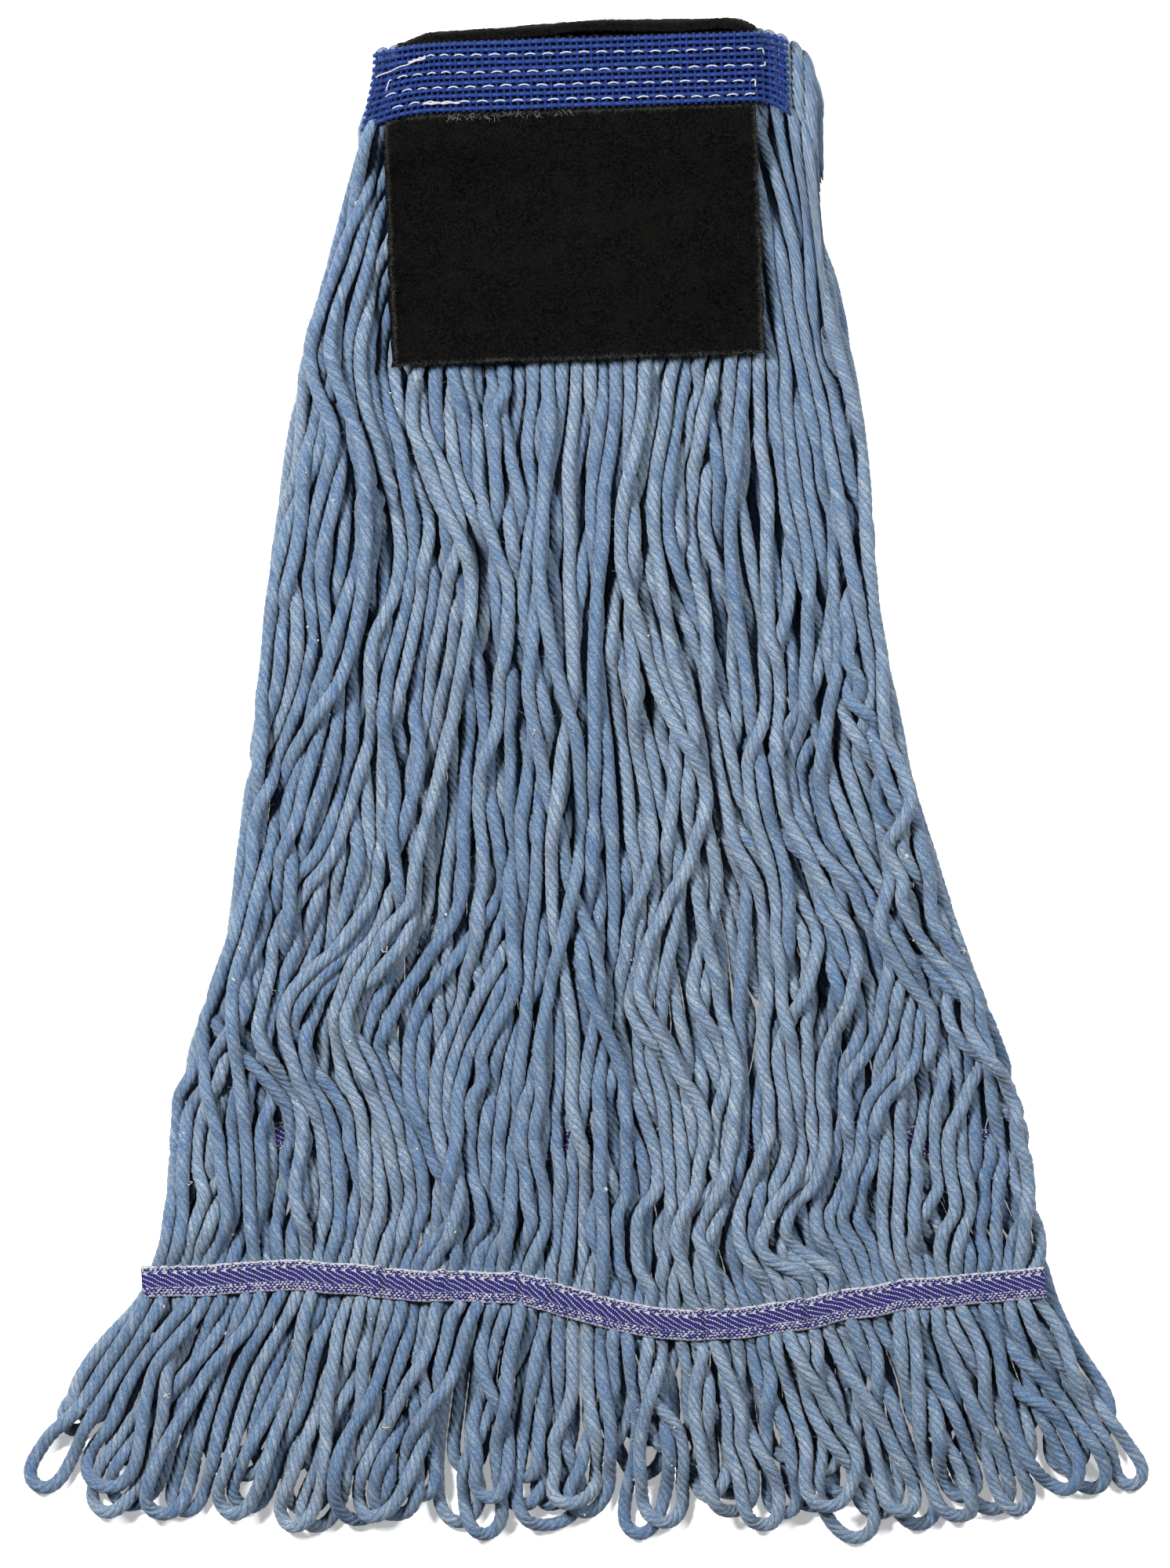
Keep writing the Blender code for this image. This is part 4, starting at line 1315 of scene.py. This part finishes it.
def stray_paths(base, along, out, rng):
    """Curled fibres that leave the yarn's surface."""
    count = len(base)
    heading = along * rng.normal(0, 1, (count, 1))
    heading = unit(heading + np.cross(out, along) * rng.normal(0, 1, (count, 1)))
    length = rng.uniform(1.5, 4.5, count)
    t = np.linspace(0, 1, 5)
    rise = 0.1 + 0.9 * rng.random((count, 1)) * t[None] * (1.6 - t[None])
    curl = 0.35 * length[:, None] * rng.normal(0, 1, (count, 1)) * t[None] ** 2
    paths = base[:, None] + out[:, None] * (YARN / 2 - 0.1 + rise)[..., None]
    paths = paths + heading[:, None] * (length[:, None] * t)[..., None]
    paths = paths + np.cross(out, heading)[:, None] * curl[..., None]
    paths[..., 2] = np.maximum(paths[..., 2], 0.2)
    return paths


def knot_paths(base, out, rng):
    """Small tangles of lint on the yarn's surface."""
    knots = len(base) // STRAYS_A_KNOT
    chosen = rng.integers(0, len(base), knots)
    spin = rng.uniform(0, 2 * math.pi, (knots, 7, 2))
    ball = np.stack([np.cos(spin[..., 0]), np.sin(spin[..., 0]), 0.35 * np.sin(spin[..., 1])], axis=-1)
    tangle = base[chosen][:, None] + out[chosen][:, None] * (YARN / 2 + 0.05)
    tangle = tangle + ball * (0.3 + 1.4 * rng.random((knots, 1, 1)) ** 4)
    tangle[..., 2] = np.maximum(tangle[..., 2], 0.3)
    return tangle


def add_lint(half, lines, look, pale):
    """Stray fibres on the yarn, and the pale knots of lint that cling to it."""
    rng = np.random.default_rng(SEED + 20 + (half == "front"))
    base, along, out = yarn_places(lines, STRAYS[half], rng)
    strays = stray_paths(base, along, out, rng)
    knots = knot_paths(base, out, rng)
    up = (0.31, 0.17, 0.94)
    for obj in (
        tubes(f"{half}_stray_fibres", strays, STRAY_RADIUS, 3, up, look),
        tubes(f"{half}_lint_knots", knots, KNOT_RADIUS, 5, up, pale),
    ):
        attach(obj, f"{half}_half")


# ---- room, light and camera


VIEW_HEIGHT = 4.0
FRAME_TALL = 0.5376
FRAME_LEVEL = 0.015  # height at which the frame is that tall
SENSOR = 36.0
HORIZON = 0.85
SKY = 0.09  # brightness overhead; the horizon is bright, as in a white studio
LIGHT_AIM = (0, 0.03, 0)
LIGHT_SIZE = 0.40
KEY = ((-0.82, 0.55, 1.32), 62)  # its place in metres, and its power in watts
SECOND_KEY = ((0.85, 0.45, 1.32), 28)


def area_light(name, place, power):
    light = bpy.data.lights.new(name, "AREA")
    light.shape = "DISK"
    light.size = LIGHT_SIZE
    light.energy = power
    obj = bpy.data.objects.new(name, light)
    obj.location = place
    x, y, z = np.array(LIGHT_AIM) - np.array(place)
    obj.rotation_euler = (math.atan2(math.hypot(x, y), -z), 0, math.atan2(y, x) - math.pi / 2)
    bpy.context.scene.collection.objects.link(obj)


def add_sky(scene):
    world = bpy.data.worlds.new("studio")
    scene.world = world
    world.use_nodes = True
    nodes, links = world.node_tree.nodes, world.node_tree.links
    direction = nodes.new("ShaderNodeTexCoord").outputs["Generated"]
    height = nodes.new("ShaderNodeSeparateXYZ")
    links.new(direction, height.inputs[0])
    sky = nodes.new("ShaderNodeMapRange")
    for name, value in (("From Min", 0.10), ("From Max", 0.30), ("To Min", HORIZON), ("To Max", SKY)):
        sky.inputs[name].default_value = value
    links.new(height.outputs["Z"], sky.inputs["Value"])
    links.new(sky.outputs["Result"], nodes["Background"].inputs["Strength"])
    nodes["Background"].inputs["Color"].default_value = (1, 1, 1, 1)


def add_camera(scene):
    camera = bpy.data.cameras.new("camera")
    camera.sensor_width = SENSOR
    camera.lens = SENSOR * (VIEW_HEIGHT - FRAME_LEVEL) / FRAME_TALL
    camera.clip_start = 0.05
    eye = bpy.data.objects.new("camera", camera)
    eye.location = (0, 0, VIEW_HEIGHT)
    scene.collection.objects.link(eye)
    scene.camera = eye


def add_room():
    scene = bpy.context.scene
    scene.view_settings.view_transform = "Standard"
    add_sky(scene)
    bpy.ops.mesh.primitive_plane_add(size=60)
    floor = bpy.context.object
    floor.name = "studio_floor"
    floor.data.materials.append(floor_look())
    area_light("key", *KEY)
    area_light("second_key", *SECOND_KEY)
    add_camera(scene)


# ---- the mop head


def main():
    add_room()
    yarn = yarn_look()
    pad = pad_look()
    thread = thread_look()
    tail = tail_look()
    black_fibre = fibre_look("scrub_fibre", (0.0090, 0.0092, 0.0085))
    # Paler fibres for the pad's rim: a painted highlight along its edges.
    rim_highlight_fibre = fibre_look("painted_rim_highlight", (0.045, 0.045, 0.040))
    blue_fibre = fibre_look("stray_blue_fibre", (0.20, 0.25, 0.31))
    pale_fibre = fibre_look("pale_lint", (0.48, 0.48, 0.47))
    seam_fibre = fibre_look("seam_lint", (0.22, 0.22, 0.21))
    back, front = yarn_lines()
    add_yarn("back", back, yarn)
    add_yarn("front", front, yarn)
    add_fold_yarn(yarn)
    add_headband(band_look(), thread)
    add_front_pad(np.concatenate([back, front]), pad, black_fibre, rim_highlight_fibre, seam_fibre)
    add_fold_pad(pad, black_fibre)
    add_back_pad(pad)
    for half in ("back", "front"):
        for side in ("lower", "upper"):
            add_tail_tape(half, side, tail)
        add_tail_stitches(half, thread)
    add_lint("front", front, blue_fibre, pale_fibre)
    add_lint("back", back, blue_fibre, pale_fibre)


main()
